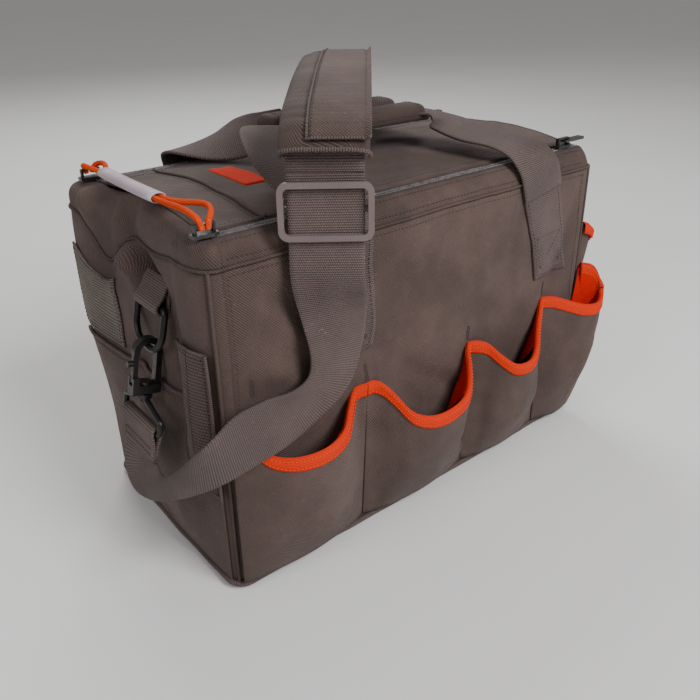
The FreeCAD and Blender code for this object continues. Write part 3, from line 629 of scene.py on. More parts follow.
for side, sy in (("front", -1), ("back", 1)):
    line = [on_side(side, -190 + 380 * k / 90, SEAM_Z - 6, 0.2) for k in range(91)]
    stitch_row("bag", "thread", line, Vector((0, sy, 0)))
for fraction in (0.22, 0.8):
    line = []
    for x, y, n, side in rim:
        low = body_point(x, y, n, side, SEAM_Z)
        high = strip_edge(x, y, side)
        if side in ("front", "back") and abs(x) < 190:
            line.append((side, low.lerp(high, fraction)
                         + (n * 0.8 + Vector((0, 0, 0.7))) * (strip_roll(x, y) * arc(fraction) + 0.3)))
    for wanted, sy in (("front", -1), ("back", 1)):
        stitch_row("bag", "thread", [p for s, p in line if s == wanted], Vector((0, sy * 0.8, 0.6)))


# ---- lid and zips ---------------------------------------------------------------------------------
def lid_height(x, y):
    """Top of the lid: crowned, with a hem beside each zip and soft hollows."""
    crown = ZIP_Z + 8.0 * (1 - (y / ZIP_IN) ** 2)
    edge = fade(ZIP_IN - abs(y), 0, 14)
    hollows = 2.6 * wrinkle(x, y, 101, 48) * edge
    hem = 1.3 * hill(abs(y), ZIP_IN - 6.5, 3.0)
    return crown + hollows + hem - 1.4 * hill(x, -147, 7) * edge


LID_EDGE = ZIP_IN - 3.6                    # the lid's sewn edge leaves the inner tape showing


def lid_stitches(body, line):
    stitch_row(body, "thread", [Vector((x, y, lid_height(x, y) + 0.1)) for x, y in line], Vector((0, 0, 1)))


def lid_piece(name, x0, x1, half, node, body):
    """One piece of the lid, with a row of stitches inside each edge."""
    rows = []
    columns = max(8, int((x1 - x0) / 4.5))
    for j in range(45):
        y = -half + 2 * half * j / 44
        rows.append([Vector((x0 + (x1 - x0) * k / columns, y, lid_height(x0 + (x1 - x0) * k / columns, y)))
                     for k in range(columns + 1)])
    obj = cloth_grid(name, rows, TOP_CLOTH, 2.4, LINING)
    face_outwards(obj, Vector((0, 0, 1)))
    place(obj, body, "pack_cloth", node)
    for x in (x0 + 3.5, x1 - 3.5):
        lid_stitches(body, [(x, -half + 6 + (2 * half - 12) * k / 50) for k in range(51)])
    for sy in (-1, 1):
        lid_stitches(body, [(x0 + 4 + (x1 - x0 - 8) * k / 60, sy * (half - 7)) for k in range(61)])


lid_piece("lid_cloth", LID_LOW.x, LID_HIGH.x, LID_EDGE, "main_lid", "bag")
lid_piece("lid_end_cloth", FLAP_LOW.x, FLAP_HIGH.x, ZIP_IN - 4.2, "lid_end_flap", "lid_end")

seam_lip = [Vector((LID_LOW.x + 1.4, y, lid_height(LID_LOW.x + 1.4, y) + 0.5)) for y in range(-84, 85, 6)]
bead("lid_seam_lip", seam_lip, 1.5, TOP_CLOTH)


def zip_run(label, sy):
    """Tape, coil teeth and the dark groove between them."""
    tape_rows = []
    for y_off, z_off in ((ZIP_OUT + 0.6, 0.2), (ZIP_OUT - 0.6, 0.5), (ZIP_Y + 3.2, 0.2), (ZIP_Y + 1.0, 0.0),
                         (ZIP_Y + 0.3, -1.8), (ZIP_Y - 0.3, -1.8), (ZIP_Y - 1.0, 0.0), (ZIP_Y - 3.2, 0.2),
                         (ZIP_Y - 4.6, 0.9),
                         (LID_EDGE, 0.3), (LID_EDGE - 2.0, -0.4)):
        tape_rows.append([Vector((x, sy * y_off, ZIP_Z + z_off))
                          for x in range(int(TAPE_LOW.x), int(TAPE_HIGH.x) + 1, 3)])
    tape = cloth_grid(label + "_zip_tape_cloth", tape_rows, ZIP_CLOTH, 0.7)
    face_outwards(tape, Vector((0, 0, 1)))
    place(tape, "bag", "zip_nylon", label + "_zip_tape")
    verts, faces = [], []
    pitch, x = 1.8, TAPE_LOW.x + 3
    while x < TAPE_HIGH.x - 3:
        for lean, y_mid in ((0.45, 2.1), (-0.45, -2.1)):
            base = len(verts)
            for dx, dy, dz in ((-0.62, -1.0, 0.0), (0.62, -1.0, 0.0), (0.62, 1.0, 0.0), (-0.62, 1.0, 0.0),
                               (-0.35, -0.7, 1.2), (0.35, -0.7, 1.2), (0.35, 0.7, 1.2), (-0.35, 0.7, 1.2)):
                verts.append(Vector((x + dx + lean, sy * (ZIP_Y + y_mid + dy), ZIP_Z - 0.1 + dz)))
            faces += [tuple(base + i for i in f) for f in
                      ((0, 3, 2, 1), (4, 5, 6, 7), (0, 1, 5, 4), (1, 2, 6, 5), (2, 3, 7, 6), (3, 0, 4, 7))]
        x += pitch
    teeth = make_object(label + "_zip_teeth", verts, faces, COIL)
    recalculate(teeth)
    place(teeth, "bag", "zip_nylon", label + "_zip_coil")


zip_run("front", -1)
zip_run("back", 1)

tag_rows = [[Vector((x, y, lid_height(x, y) + 0.9 - 0.35 * (abs(a) == 1 or abs(b) == 1)))
             for a, x in ((k / 5 - 1, -123 + 2.1 * k) for k in range(11))]
            for b, y in ((j / 8 - 1, -24 + 3.6 * j) for j in range(17))]
tag = cloth_grid("lid_tag", tag_rows, BINDING, 0.8)
face_outwards(tag, Vector((0, 0, 1)))
place(tag, "bag", "binding")


# ---- pull cord and its tube -----------------------------------------------------------------------
def nurbs_cord(name, route, diameter, node, body):
    """A cord on one smooth line through its route."""
    curve = bpy.data.curves.new(name, "CURVE")
    curve.dimensions = "3D"
    spline = curve.splines.new("NURBS")
    spline.points.add(len(route) - 1)
    for point, (x, y, z) in zip(spline.points, route):
        point.co = (x, y, z, 1.0)
    spline.order_u = 3
    spline.use_endpoint_u = True
    spline.resolution_u = 10
    bare = bpy.data.objects.new(name, curve)
    bpy.context.scene.collection.objects.link(bare)
    line = bpy.data.meshes.new_from_object(bare)
    bpy.data.meshes.remove(line)
    curve.bevel_depth = diameter / 2
    curve.bevel_resolution = 5
    curve.use_fill_caps = True
    curve.materials.append(CORD)
    place(bare, body, "pull_cord", node)


TUBE_LOW, TUBE_HIGH = box_mm("pull_grip_tube")
tube_mid = (TUBE_LOW + TUBE_HIGH) / 2
outer, inner = [], []
for k in range(13):
    y = TUBE_LOW.y + (TUBE_HIGH.y - TUBE_LOW.y) * k / 12
    bow = 0.8 * math.sin(math.pi * k / 12)
    for ring, wide, tall in ((outer, 6.1, 3.9), (inner, 5.2, 2.9)):
        ring.append([Vector((tube_mid.x - bow + wide * math.cos(a), y, tube_mid.z + tall * math.sin(a)))
                     for a in (2 * math.pi * i / 24 for i in range(24))])
grip_rows = outer + inner[::-1]
grip_points = [p for row in grip_rows for p in row]
grip_tube = make_object("pull_tube", grip_points, grid_faces(len(grip_rows), 24, True, True), TUBE)
recalculate(grip_tube)
place(grip_tube, "zip_pull", "grip_tube", "pull_grip_tube")

CORD_D = 0.0042
CORD_A = [(-0.19825, -0.0935, 0.2906), (-0.19850, -0.0925, 0.2955), (-0.20000, -0.0860, 0.2995),
          (-0.20050, -0.0740, 0.3005), (-0.19850, -0.0590, 0.2985), (-0.19825, -0.0420, 0.2970),
          (-0.19830, -0.0140, 0.2968), (-0.19825, 0.0180, 0.2968), (-0.19830, 0.0460, 0.2968),
          (-0.19825, 0.0640, 0.2972), (-0.20350, 0.0760, 0.2995), (-0.20250, 0.0870, 0.2985),
          (-0.19925, 0.0925, 0.2950), (-0.19825, 0.0935, 0.2906)]
CORD_B = [(-0.19375, -0.0935, 0.2906), (-0.19300, -0.0925, 0.2955), (-0.18650, -0.0870, 0.2995),
          (-0.18300, -0.0740, 0.3005), (-0.18700, -0.0590, 0.2985), (-0.19325, -0.0440, 0.2970),
          (-0.19375, -0.0220, 0.29685), (-0.19370, 0.0080, 0.2968), (-0.19375, 0.0380, 0.2968),
          (-0.19370, 0.0630, 0.2972), (-0.18850, 0.0760, 0.2995), (-0.18950, 0.0870, 0.2985),
          (-0.19275, 0.0925, 0.2950), (-0.19375, 0.0935, 0.2906)]
nurbs_cord("pull_cord_left", CORD_A, CORD_D, "pull_cord_a", "zip_pull")
nurbs_cord("pull_cord_right", CORD_B, CORD_D, "pull_cord_b", "zip_pull")


# ---- open pockets ---------------------------------------------------------------------------------
BINDING_DEPTH = 11.0                       # how far the orange tape folds down each face of a rim


def pocket(label, rim_points, foot_points, to_side, nodes, billow=5.0, seed=0.0):
    """A pleated pocket: cloth from its foot up to a wavy rim, bound in orange; inside it is orange too."""
    rim_line = [Vector(p) for p in smooth_path(rim_points, 6)]
    foot_line = [Vector(p) for p in smooth_path(foot_points, 6)]
    count, steps = len(rim_line), 22
    if len(foot_line) != count:
        scaled = []
        for i in range(count):
            f = i / (count - 1) * (len(foot_line) - 1)
            k = min(int(f), len(foot_line) - 2)
            scaled.append(foot_line[k].lerp(foot_line[k + 1], f - k))
        foot_line = scaled

    def wall(i, t):
        low, high = foot_line[i], rim_line[i]
        s = i / (count - 1)
        swell = arc(t) ** 0.8 * arc(s)
        fold = 4.2 * wrinkle(s * 120, t * 120, seed, 34) * arc(t) ** 0.7 * arc(s)
        return low.lerp(high, t) + to_side * (billow * swell + fold)

    rows = [[wall(i, j / steps) for i in range(count)] for j in range(steps + 1)]
    cloth = cloth_grid(label + "_cloth", rows, CLOTH, 1.6, ORANGE_LINING)
    face_outwards(cloth, to_side)
    place(cloth, "bag", "pack_cloth", *nodes)

    def outward(i):
        ahead, behind = rim_line[min(i + 1, count - 1)], rim_line[max(i - 1, 0)]
        down = wall(i, 0.86) - wall(i, 1.0)
        normal = (ahead - behind).cross(down).normalized()
        return -normal if normal.dot(to_side) < -0.02 and abs(normal.dot(to_side)) > 0.3 else normal

    normals = [outward(i) for i in range(count)]
    sign = 1 if sum(n.dot(to_side) for n in normals) > 0 else -1
    tape_rows = [[] for _ in range(9)]
    ridge = []
    for i in range(count):
        height = (wall(i, 1.0) - wall(i, 0.0)).length
        n = normals[i] * sign
        if n.dot(to_side) < -0.5:
            n = -n
        down = (wall(i, 1 - BINDING_DEPTH / height) - wall(i, 1.0)).normalized()
        top_point = wall(i, 1.0)
        for row, (depth, off) in zip(tape_rows, ((BINDING_DEPTH, 0.9), (BINDING_DEPTH - 0.8, 1.3),
                                                 (BINDING_DEPTH * 0.5, 1.25), (1.6, 1.4), (-0.9, 0.2),
                                                 (1.0, -2.9), (BINDING_DEPTH * 0.5, -3.0),
                                                 (BINDING_DEPTH - 2, -3.0), (BINDING_DEPTH - 1.2, -2.3))):
            row.append(top_point + down * depth + n * off)
        ridge.append((top_point, down, n))
    tape = cloth_grid(label + "_binding", tape_rows, BINDING, 0.5)
    place(tape, "bag", "binding")
    for depth in (2.6, BINDING_DEPTH - 2.2):
        stitch_row("bag", "orange", [p + d * depth + n * 1.6 for p, d, n in ridge], [n for p, d, n in ridge],
                   pitch=3.0, length=2.2, radius=0.3)


FRONT = Vector((0, -1, 0))
FACE = -HALF_Y - 2.0


def clear_of_front(points):
    """Keep a pocket's line just outside the cloth of the front."""
    clear = []
    for x, y, z in points:
        skin = -HALF_Y - one_side_out("front", max(-200.0, min(200.0, x)), z) - 1.2
        clear.append((x, min(y, skin) if y > skin + 6 else y - 3.0 * max(0.0, 1 - (skin - y) / 12) if y < skin
                      else skin, z))
    return clear


POCKET_RIMS = {
    "pocket_1": [(-202, FACE, 158), (-198, -108.5, 151), (-192, -111, 141), (-184, -115, 131), (-175, -122, 123),
                 (-160, -131, 120), (-138, -136, 121), (-117, -130, 124), (-103, -118, 132), (-92, -110.5, 142),
                 (-81.5, FACE, 144)],
    "pocket_2": [(-81.5, FACE, 144), (-75, -110.5, 144), (-68, -117, 140), (-60, -126, 129), (-50, -134, 114),
                 (-35, -139, 106), (-14, -140, 103), (7, -138, 106), (21, -131, 114), (31, -120, 125),
                 (36, -111, 133), (40.5, FACE, 137)],
    "pocket_3": [(40.5, FACE, 137), (48, -110, 136.5), (58, -116, 132), (67, -127, 121), (79, -135, 111),
                 (97, -137, 110), (112, -131, 117), (124, -121, 128), (135, -111, 143), (144, FACE, 149)],
    "pocket_4": [(144, FACE, 149), (156, -110.5, 147.5), (172, -118, 141), (190, -126, 134), (206, -130, 133),
                 (217, -127, 140), (221, -119, 152), (216, -111, 164), (205, FACE + 1, 168)],
}
POCKET_FEET = {
    "pocket_1": [(-202, FACE, 10), (-196, -109, 10), (-180, -111, 9), (-142, -113, 8), (-112, -111, 9),
                 (-94, -108, 10), (-82, FACE, 10)],
    "pocket_2": [(-81, FACE, 10), (-70, -108, 10), (-56, -111, 9), (-20, -113, 8), (12, -111, 9), (28, -108, 10),
                 (40, FACE, 10)],
    "pocket_3": [(41, FACE, 10), (51, -108, 10), (64, -111, 9), (92, -113, 8), (120, -111, 9), (132, -108, 10),
                 (143, FACE, 10)],
    "pocket_4": [(145, FACE, 10), (152, -109, 10), (164, -112, 9), (180, -114, 8), (197, -112, 9), (206, -109, 10),
                 (206, FACE, 10)],
}
# Where each pocket's right pleat is folded against the panel, from the rim down.
PLEAT_FOLDS = {"pocket_1": [(-83, 141), (-92, 112), (-104, 78)], "pocket_2": [(39, 135), (30, 108), (16, 76)],
               "pocket_3": [(142.5, 147), (133, 118), (119, 84)], "pocket_4": [(202, 164), (193, 128), (183, 84)]}


def pleat_lining(label):
    """The orange back of a pleat: from the rising end of the rim in to the fold on the panel."""
    rim_line = [Vector(p) for p in smooth_path(clear_of_front(POCKET_RIMS[label]), 6)]
    part = rim_line[int(len(rim_line) * 0.66):]
    fold = [on_side("front", x, z, 1.2) for x, z in PLEAT_FOLDS[label]]
    fold_line = [Vector(p) for p in smooth_path([tuple(p) for p in fold], 8)]
    rows = []
    for j in range(13):
        t = j / 12
        row = []
        for i, high in enumerate(reversed(part)):
            f = i / (len(part) - 1) * (len(fold_line) - 1)
            k = min(int(f), len(fold_line) - 2)
            deep = fold_line[k].lerp(fold_line[k + 1], f - k)
            sag = arc(t) * (3.0 + 2.0 * wrinkle(i * 6, j * 7, 3.0, 24))
            behind_rim = high - FRONT * 2.6 - Vector((0, 0, 1.5))
            row.append(behind_rim.lerp(deep, t) + Vector((0.3 * sag, 0.5 * sag, -sag)))
        rows.append(row)
    lining = cloth_grid(label + "_pleat_lining", rows, ORANGE_LINING, 0.8)
    place(lining, "bag", "binding")


for number in (1, 2, 3, 4):
    label = "pocket_%d" % number
    nodes = [label + "_front"] + (["pocket_pleats", "pocket_binding"] if number == 1 else [])
    pocket(label, clear_of_front(POCKET_RIMS[label]), clear_of_front(POCKET_FEET[label]), FRONT, nodes,
           billow=9.0, seed=7.0 * number)
    pleat_lining(label)

SIDE_LOW, SIDE_HIGH = box_mm("side_pocket_wall")
edge_x = HALF_X + 3.0
pocket("end_pocket",
       [(edge_x, SIDE_LOW.y, SIDE_HIGH.z + 16), (edge_x + 9, SIDE_LOW.y - 1, SIDE_HIGH.z + 12),
        (edge_x + 19, SIDE_LOW.y + 2, SIDE_HIGH.z + 4), (SIDE_HIGH.x - 1, SIDE_LOW.y + 14, SIDE_HIGH.z - 2),
        (SIDE_HIGH.x, (SIDE_LOW.y + SIDE_HIGH.y) / 2, SIDE_HIGH.z - 3),
        (SIDE_HIGH.x - 1, SIDE_HIGH.y - 14, SIDE_HIGH.z - 2),
        (edge_x + 19, SIDE_HIGH.y - 2, SIDE_HIGH.z + 4), (edge_x + 9, SIDE_HIGH.y + 1, SIDE_HIGH.z + 12),
        (edge_x, SIDE_HIGH.y, SIDE_HIGH.z + 16)],
       [tuple(on_side("right", SIDE_LOW.y + (SIDE_HIGH.y - SIDE_LOW.y) * k / 6, SIDE_LOW.z, 0.6))
        for k in range(7)],
       Vector((1, 0, 0)), ["side_pocket_wall", "side_pocket_pleats", "side_pocket_binding"], seed=43.0)


# ---- patches on the cloth -------------------------------------------------------------------------
def patch(name, side, t0, t1, z0, z1, material, slot, nodes=(), off=1.0, thick=1.2, columns=14, rows=26,
          puff=0.0, lean=0.0):
    """A flat piece sewn on one side of the bag, following its cloth."""
    outward = {"front": Vector((0, -1, 0)), "back": Vector((0, 1, 0)), "left": Vector((-1, 0, 0)),
               "right": Vector((1, 0, 0))}[side]
    grid = []
    for j in range(rows + 1):
        z = z0 + (z1 - z0) * j / rows
        row = []
        for k in range(columns + 1):
            t = t0 + (t1 - t0) * k / columns + lean * j / rows
            swell = puff * arc(k / columns) * arc(j / rows) ** 0.5
            row.append(on_side(side, t, z, off + thick + swell))
        grid.append(row)
    obj = cloth_grid(name, grid, material, thick)
    face_outwards(obj, outward)
    place(obj, "bag", slot, *nodes)
    return grid, outward


def hem(grid, outward):
    """Stitching just inside the edges of a patch."""
    rows, columns = len(grid), len(grid[0])
    edges = [[grid[1][c] for c in range(1, columns - 1)], [grid[rows - 2][c] for c in range(1, columns - 1)],
             [grid[r][1] for r in range(1, rows - 1)], [grid[r][columns - 2] for r in range(1, rows - 1)]]
    for line in edges:
        stitch_row("bag", "thread", [p + outward * 0.2 for p in line], outward)


for label, sy in (("front", -1), ("back", 1)):
    low, high = box_mm(label + "_handle_patches")
    for index, (x, lean) in enumerate(((low.x + WEB_W / 2, 0), (high.x - WEB_W / 2, -25))):
        nodes = [label + "_handle_patches"] if index == 0 else []
        grid, outward = patch("%s_handle_patch_%d" % (label, index + 1), label, x - WEB_W / 2, x + WEB_W / 2,
                              low.z, high.z + 2, WEBBING, "webbing", nodes, off=0.4, thick=1.8, lean=lean)
        hem(grid, outward)
        corners = [grid[3][2], grid[3][-3], grid[12][-3], grid[12][2]]
        box_stitch("bag", "thread", [p + outward * 0.3 for p in corners], outward)

grid, outward = patch("left_slip_pocket_cloth", "left", -98, 98, 6, 158, CLOTH, "pack_cloth", ["left_slip_pocket"],
                      off=0.2, thick=1.6, columns=40, rows=32, puff=1.5)
hem(grid[-3:], outward)
top_edge = [p + outward * 0.3 for p in grid[-1]]
bead("slip_pocket_edge", top_edge, 1.5, WEBBING, slot="webbing")
LOOP_LOW, LOOP_HIGH = box_mm("hook_loop_field")
grid, outward = patch("hook_loop_patch", "left", LOOP_LOW.y, LOOP_HIGH.y, LOOP_LOW.z, LOOP_HIGH.z, LOOP_PILE,
                      "hook_loop", ["hook_loop_field"], off=0.4, thick=1.6, columns=24, rows=24)
hem(grid, outward)
SHEATH_LOW, SHEATH_HIGH = box_mm("tool_sheath")
grid, outward = patch("tool_sheath_web", "left", SHEATH_LOW.y, SHEATH_HIGH.y, SHEATH_LOW.z, SHEATH_HIGH.z, SHEATH,
                      "pack_cloth", ["tool_sheath"], off=2.0, thick=1.8, columns=16, rows=34, puff=5.0)
hem(grid, outward)
for column in (0, -1):
    bead("tool_sheath_edge_%d" % (column + 2), [row[column] for row in grid], 1.3, WEBBING, slot="webbing")
centre_line = [row[8] + outward * 0.3 for row in grid]
stitch_row("bag", "thread", centre_line, outward, pitch=2.6)

for t, top_z in ((-180, 168), (-81, 146), (40, 139), (144, 151)):
    for off in (-1.4, 0, 1.4):
        tack = [on_side("front", t + off, top_z + 14 * k / 6, 0.3) for k in range(7)]
        stitch_row("bag", "thread", tack, Vector((0, -1, 0)), pitch=2.0, length=1.7)


# ---- handles --------------------------------------------------------------------------------------
GRIP_LOW, GRIP_HIGH = box_mm("front_grip")
grip_mid = (GRIP_LOW + GRIP_HIGH) / 2


def handle(label, sy):
    """Webbing legs that run over the zip and into a padded grip."""
    y, top = HALF_Y + 2.6, grip_mid.z
    if sy < 0:
        left_leg = [((-97, y, 254), (1, 0, 0), 50), ((-98, y, 268), (1, 0, 0), 50),
                    ((-101, y - 0.6, 281), (1, 0, 0), 50), ((-106, 102.5, 292), (1, -0.05, 0), 50),
                    ((-112, 92, 299.5), (0.98, -0.15, -0.05), 50), ((-116, 76, 308), (0.95, -0.2, -0.2), 50),
                    ((-117, 58, 317), (0.9, -0.25, -0.35), 48), ((-111, 41, 324), (0.8, -0.4, -0.42), 45),
                    ((-95, 27, top + 2), (0.5, -0.8, -0.25), 36), ((-64, 19, top), (0, -1, 0), 27)]
    else:
        left_leg = [((-97, y, 254), (1, 0, 0), 50), ((-98, y, 268), (1, 0, 0), 50),
                    ((-101, y - 0.6, 281), (1, 0, 0), 50), ((-104, 102.5, 292), (1, 0, 0), 50),
                    ((-104, 91, 299.5), (0.96, -0.15, 0.1), 50), ((-98, 77, 303), (0.88, -0.3, 0.3), 49),
                    ((-88, 62, 306), (0.7, -0.4, 0.55), 47), ((-77, 46, 310), (0.5, -0.45, 0.7), 42),
                    ((-68, 31, 316), (0.3, -0.6, 0.7), 34), ((-52, 19, top), (0, -0.8, 0.6), 27)]
    right_leg = [((129.5, y, 254), (1, 0, 0.18), 50), ((125, y, 268), (1, 0, 0.18), 50),
                 ((119, y - 0.6, 281), (1, 0, 0.12), 50), ((111, 102.5, 292), (1, -0.1, 0), 50),
                 ((101, 92, 299.5), (0.96, -0.26, 0), 50), ((86, 72, 304), (0.93, -0.36, 0), 50),
                 ((77, 47, 311), (0.95, -0.3, 0), 46), ((72, 31, 317), (0.85, 0.5, 0), 40),
                 ((61, 22, top - 1), (0.4, 0.9, 0), 33), ((46, 19, top), (0, 1, 0), 27)]
    pieces = []
    for name, leg in (("left", left_leg), ("right", right_leg)):
        stations = [((x, sy * dy, z), (a, -sy * b, c)) for (x, dy, z), (a, b, c), w in leg]
        pieces.append(ribbon("%s_handle_%s_leg" % (label, name), stations, WEBBING, widths=[w for p, a, w in leg],
                             per_span=7))
    body = label + "_handle"
    for piece in pieces:
        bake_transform(piece)
    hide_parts(label + "_handle_web")
    half_y, half_z = (GRIP_HIGH.y - GRIP_LOW.y) / 2, (GRIP_HIGH.z - GRIP_LOW.z) / 2
    rows = []
    for k in range(41):
        f = k / 40
        x = GRIP_LOW.x - 3 + (GRIP_HIGH.x - GRIP_LOW.x + 6) * f
        end = min(1.0, math.sqrt(max(0.0, min(f, 1 - f)) / 0.05)) if min(f, 1 - f) < 0.05 else 1.0
        ribs = 1.0 + 0.008 * math.sin(2 * math.pi * f * 22)
        row = []
        for i in range(28):
            a = 2 * math.pi * i / 28
            ca, sa = math.cos(a), math.sin(a)
            squared = (abs(ca) ** 3 + abs(sa) ** 3) ** (-1 / 3)
            swell = (0.86 + 0.14 * end) * ribs * squared * (1 + 0.03 * wrinkle(x, a * 12, 15 + sy, 22))
            row.append(Vector((x, sy * (half_y * ca * swell * 0.96 - grip_mid.y),
                               grip_mid.z + half_z * sa * swell * 0.96)))
        rows.append(row)
    faces = grid_faces(len(rows), 28, wrap_columns=True)
    faces += [tuple(range(28)), tuple((len(rows) - 1) * 28 + c for c in range(28))]
    uvs = [(i / 28 * 0.075, k * 0.0032) for k in range(41) for i in range(28)]
    grip = make_object(label + "_grip_pad", [p for row in rows for p in row], faces, TOP_CLOTH, uvs)
    recalculate(grip)
    place(grip, body, "pack_cloth", label + "_grip")
    for end in (2, 38):
        ring = [rows[end][i % 28] for i in range(29)]
        centre = sum((Vector(p) for p in ring[:28]), Vector()) / 28
        stitch_row(body, "thread", [p + (p - centre).normalized() * 0.3 for p in ring],
                   [(p - centre).normalized() for p in ring])


handle("front", -1)
handle("back", 1)


# ---- shoulder strap -------------------------------------------------------------------------------
HOOK_TILT = math.radians(12)
WIRE = Vector((-219.76, -32.0, 191.92))     # bottom wire of the left D-ring
BIGHT = 3.6                                 # that wire above the bight's centre


def hook_point(across, down, y=0.0):
    """A point in the left hook's own axes: across its width and down from the ring's wire."""
    c, s = math.cos(HOOK_TILT), math.sin(HOOK_TILT)
    return Vector((WIRE.x + across * c - down * s, WIRE.y + y, WIRE.z - across * s - down * c))


def other_end(p):
    return Vector((-p.x, -p.y, p.z))


EYE_DROP, END_LENGTH = 56.0, 22.0
RUN = Vector((-128.0, -129.0, 0))
RUN_ACROSS = (0.78, -0.62, 0.0)
END_LOOP = [((-240, -36, 98), (-0.15, 0.88, -0.45)), ((-243, -54, 94), (-0.15, 0.74, -0.66)),
            ((-245, -86, 109), (-0.02, 0.60, -0.80)), ((-241, -119, 134), (0.12, 0.44, -0.89)),
            ((-227, -135, 149), (0.24, 0.28, -0.93)), ((-202, -131, 153), (0.27, 0.08, -0.96)),
            ((-173, -123, 150), (0.32, 0.07, -0.95)), ((-145, -120, 152), (0.56, 0.20, -0.80)),
            ((-122, -119, 164), (0.85, 0.16, -0.50)), ((-114, -119, 188), (0.98, 0.05, -0.15))]
FRONT_RISE = [((-118, -122, 219), (0.96, -0.28, 0.0)), ((RUN.x, RUN.y, 250), RUN_ACROSS),
              ((RUN.x, RUN.y, 276), RUN_ACROSS), ((RUN.x, RUN.y, 300), RUN_ACROSS),
              ((RUN.x, RUN.y, 322), RUN_ACROSS)]
HEADING = Vector((0.65, 0.76, 0))
ARCH_ACROSS = (0.76, -0.65, 0.0)
ARCH = [(0, 322.4), (1, 331), (6, 338), (15, 343), (32, 348), (62, 352), (98, 356), (140, 358.5), (176, 359.5),
        (206, 359), (236, 355), (255, 346)]
BACK_FALL = [((41, 79, 335), (0.84, -0.54, 0)), ((42, 96, 318), (0.92, -0.39, 0)),
             ((42, 108, 301), (0.97, -0.24, 0)),
             ((42, 114, 276), (1, -0.05, 0)), ((42, 115, 240), (1, 0, 0)), ((43, 116, 205), (0.99, 0, 0.1)),
             ((56, 117, 174), (0.82, 0, 0.57)), ((82, 118, 155), (0.5, 0, 0.87)), ((115, 119, 149), (0.1, 0, 0.99)),
             ((146, 120, 149), (0.14, 0, 0.98))]


def arch_station(u, z):
    p = RUN + HEADING * u
    return ((p.x, p.y, z), ARCH_ACROSS)


def far_station(station):
    (x, y, z), (a, b, c) = station
    return ((-x, -y, z), (a, b, -c))


reach = EYE_DROP + END_LENGTH + BIGHT
tail = (tuple(hook_point(0, reach - 6)), (0, 1, 0))
start = (tuple(hook_point(0, reach + 2.2)), (0, 1, -0.05))
strap_front = ribbon("strap_front_web", [tail, start] + END_LOOP + FRONT_RISE, WEBBING, per_span=7)
place(strap_front, "bag", "webbing", "strap_front")
back_stations = [arch_station(u, z) for u, z in ARCH] + BACK_FALL
back_stations += [far_station(s) for s in reversed(END_LOOP[:7])] + [far_station(start), far_station(tail)]
strap_back = ribbon("strap_back_web", back_stations, WEBBING, per_span=7)
place(strap_back, "bag", "webbing", "strap_back")
tail_run = [((RUN.x, RUN.y, z), RUN_ACROSS) for z in (262, 285, 305, 322)]
doubled = ribbon("strap_doubled_web", tail_run, WEBBING, lift=WEB_T + 0.1, thick=WEB_T * 0.9)
place(doubled, "bag", "webbing")


def end_fold(name, turn, body, node):
    """Webbing folded round the eye's bar, sewn to itself."""
    bar = EYE_DROP + BIGHT
    outline = [(-1.3, bar + END_LENGTH), (-1.5, bar + END_LENGTH - 10), (-2.6, bar + 6), (-3.6, bar),
               (-2.6, bar - 2.8),
               (0, bar - 3.8), (2.6, bar - 2.8), (3.6, bar), (2.6, bar + 6), (1.5, bar + END_LENGTH - 10),
               (1.3, bar + END_LENGTH)]
    stations = []
    for across, down in outline:
        p = hook_point(across, down)
        stations.append((tuple(other_end(p)) if turn else tuple(p), (0, 1, 0)))
    obj = ribbon(name, stations, WEBBING, per_span=4)
    place(obj, body, "webbing", node)
    normal = hook_point(-1, 0) - hook_point(0, 0)
    for down in (bar + END_LENGTH - 4, bar + END_LENGTH - 9):
        line = [hook_point(-2.7, down, -22 + 44 * k / 12) for k in range(13)]
        line = [other_end(p) for p in line] if turn else line
        stitch_row(body, "thread", line, other_end(normal) if turn else normal)


end_fold("left_strap_fold", False, "left_eye", "left_strap_end")
end_fold("right_strap_fold", True, "right_eye", "right_strap_end")


# ---- shoulder pad ---------------------------------------------------------------------------------
PAD_W, PAD_T = 57.0, 10.0
pad_path = smooth_path([(*arch_station(u, z)[0], 0.0) for u, z in ARCH[1:11]], 10)
pad_centres = [Vector(p[:3]) for p in pad_path]
side = Vector(ARCH_ACROSS).normalized()


def pad_frame(i):
    along = pad_centres[min(i + 1, len(pad_centres) - 1)] - pad_centres[max(i - 1, 0)]
    return pad_centres[i], along.cross(side).normalized()


def pad_body():
    rows, uvs, run = [], [], 0.0
    for i in range(len(pad_centres)):
        centre, normal = pad_frame(i)
        if i:
            run += (pad_centres[i] - pad_centres[i - 1]).length
        f = i / (len(pad_centres) - 1)
        end = math.sqrt(max(0.0, 1 - (1 - min(f, 1 - f) / 0.035) ** 2)) if min(f, 1 - f) < 0.035 else 1.0
        quilt = 0.75 * abs(math.sin(math.pi * run / 9.5)) ** 0.6
        row = []
        for k in range(32):
            a = 2 * math.pi * k / 32
            ca, sa = math.cos(a), math.sin(a)
            wide = (PAD_W / 2) * math.copysign(abs(ca) ** 0.45, ca) * (0.93 + 0.07 * end)
            tall = (PAD_T / 2) * math.copysign(abs(sa) ** 0.75, sa) * (0.35 + 0.65 * end)
            grow = quilt * abs(sa)
            middle = centre - normal * (WEB_T / 2 + 0.3 + PAD_T / 2)
            row.append(middle + side * wide + normal * (tall + math.copysign(grow, sa)))
        rows.append(row)
        uvs += [(k / 32 * 0.15, run * MM) for k in range(32)]
    faces = grid_faces(len(rows), 32, wrap_columns=True)
    faces += [tuple(range(32)), tuple((len(rows) - 1) * 32 + c for c in range(32))]
    obj = make_object("shoulder_pad_body", [p for row in rows for p in row], faces, TOP_CLOTH, uvs)
    recalculate(obj)
    place(obj, "bag", "pad", "shoulder_pad")


pad_body()


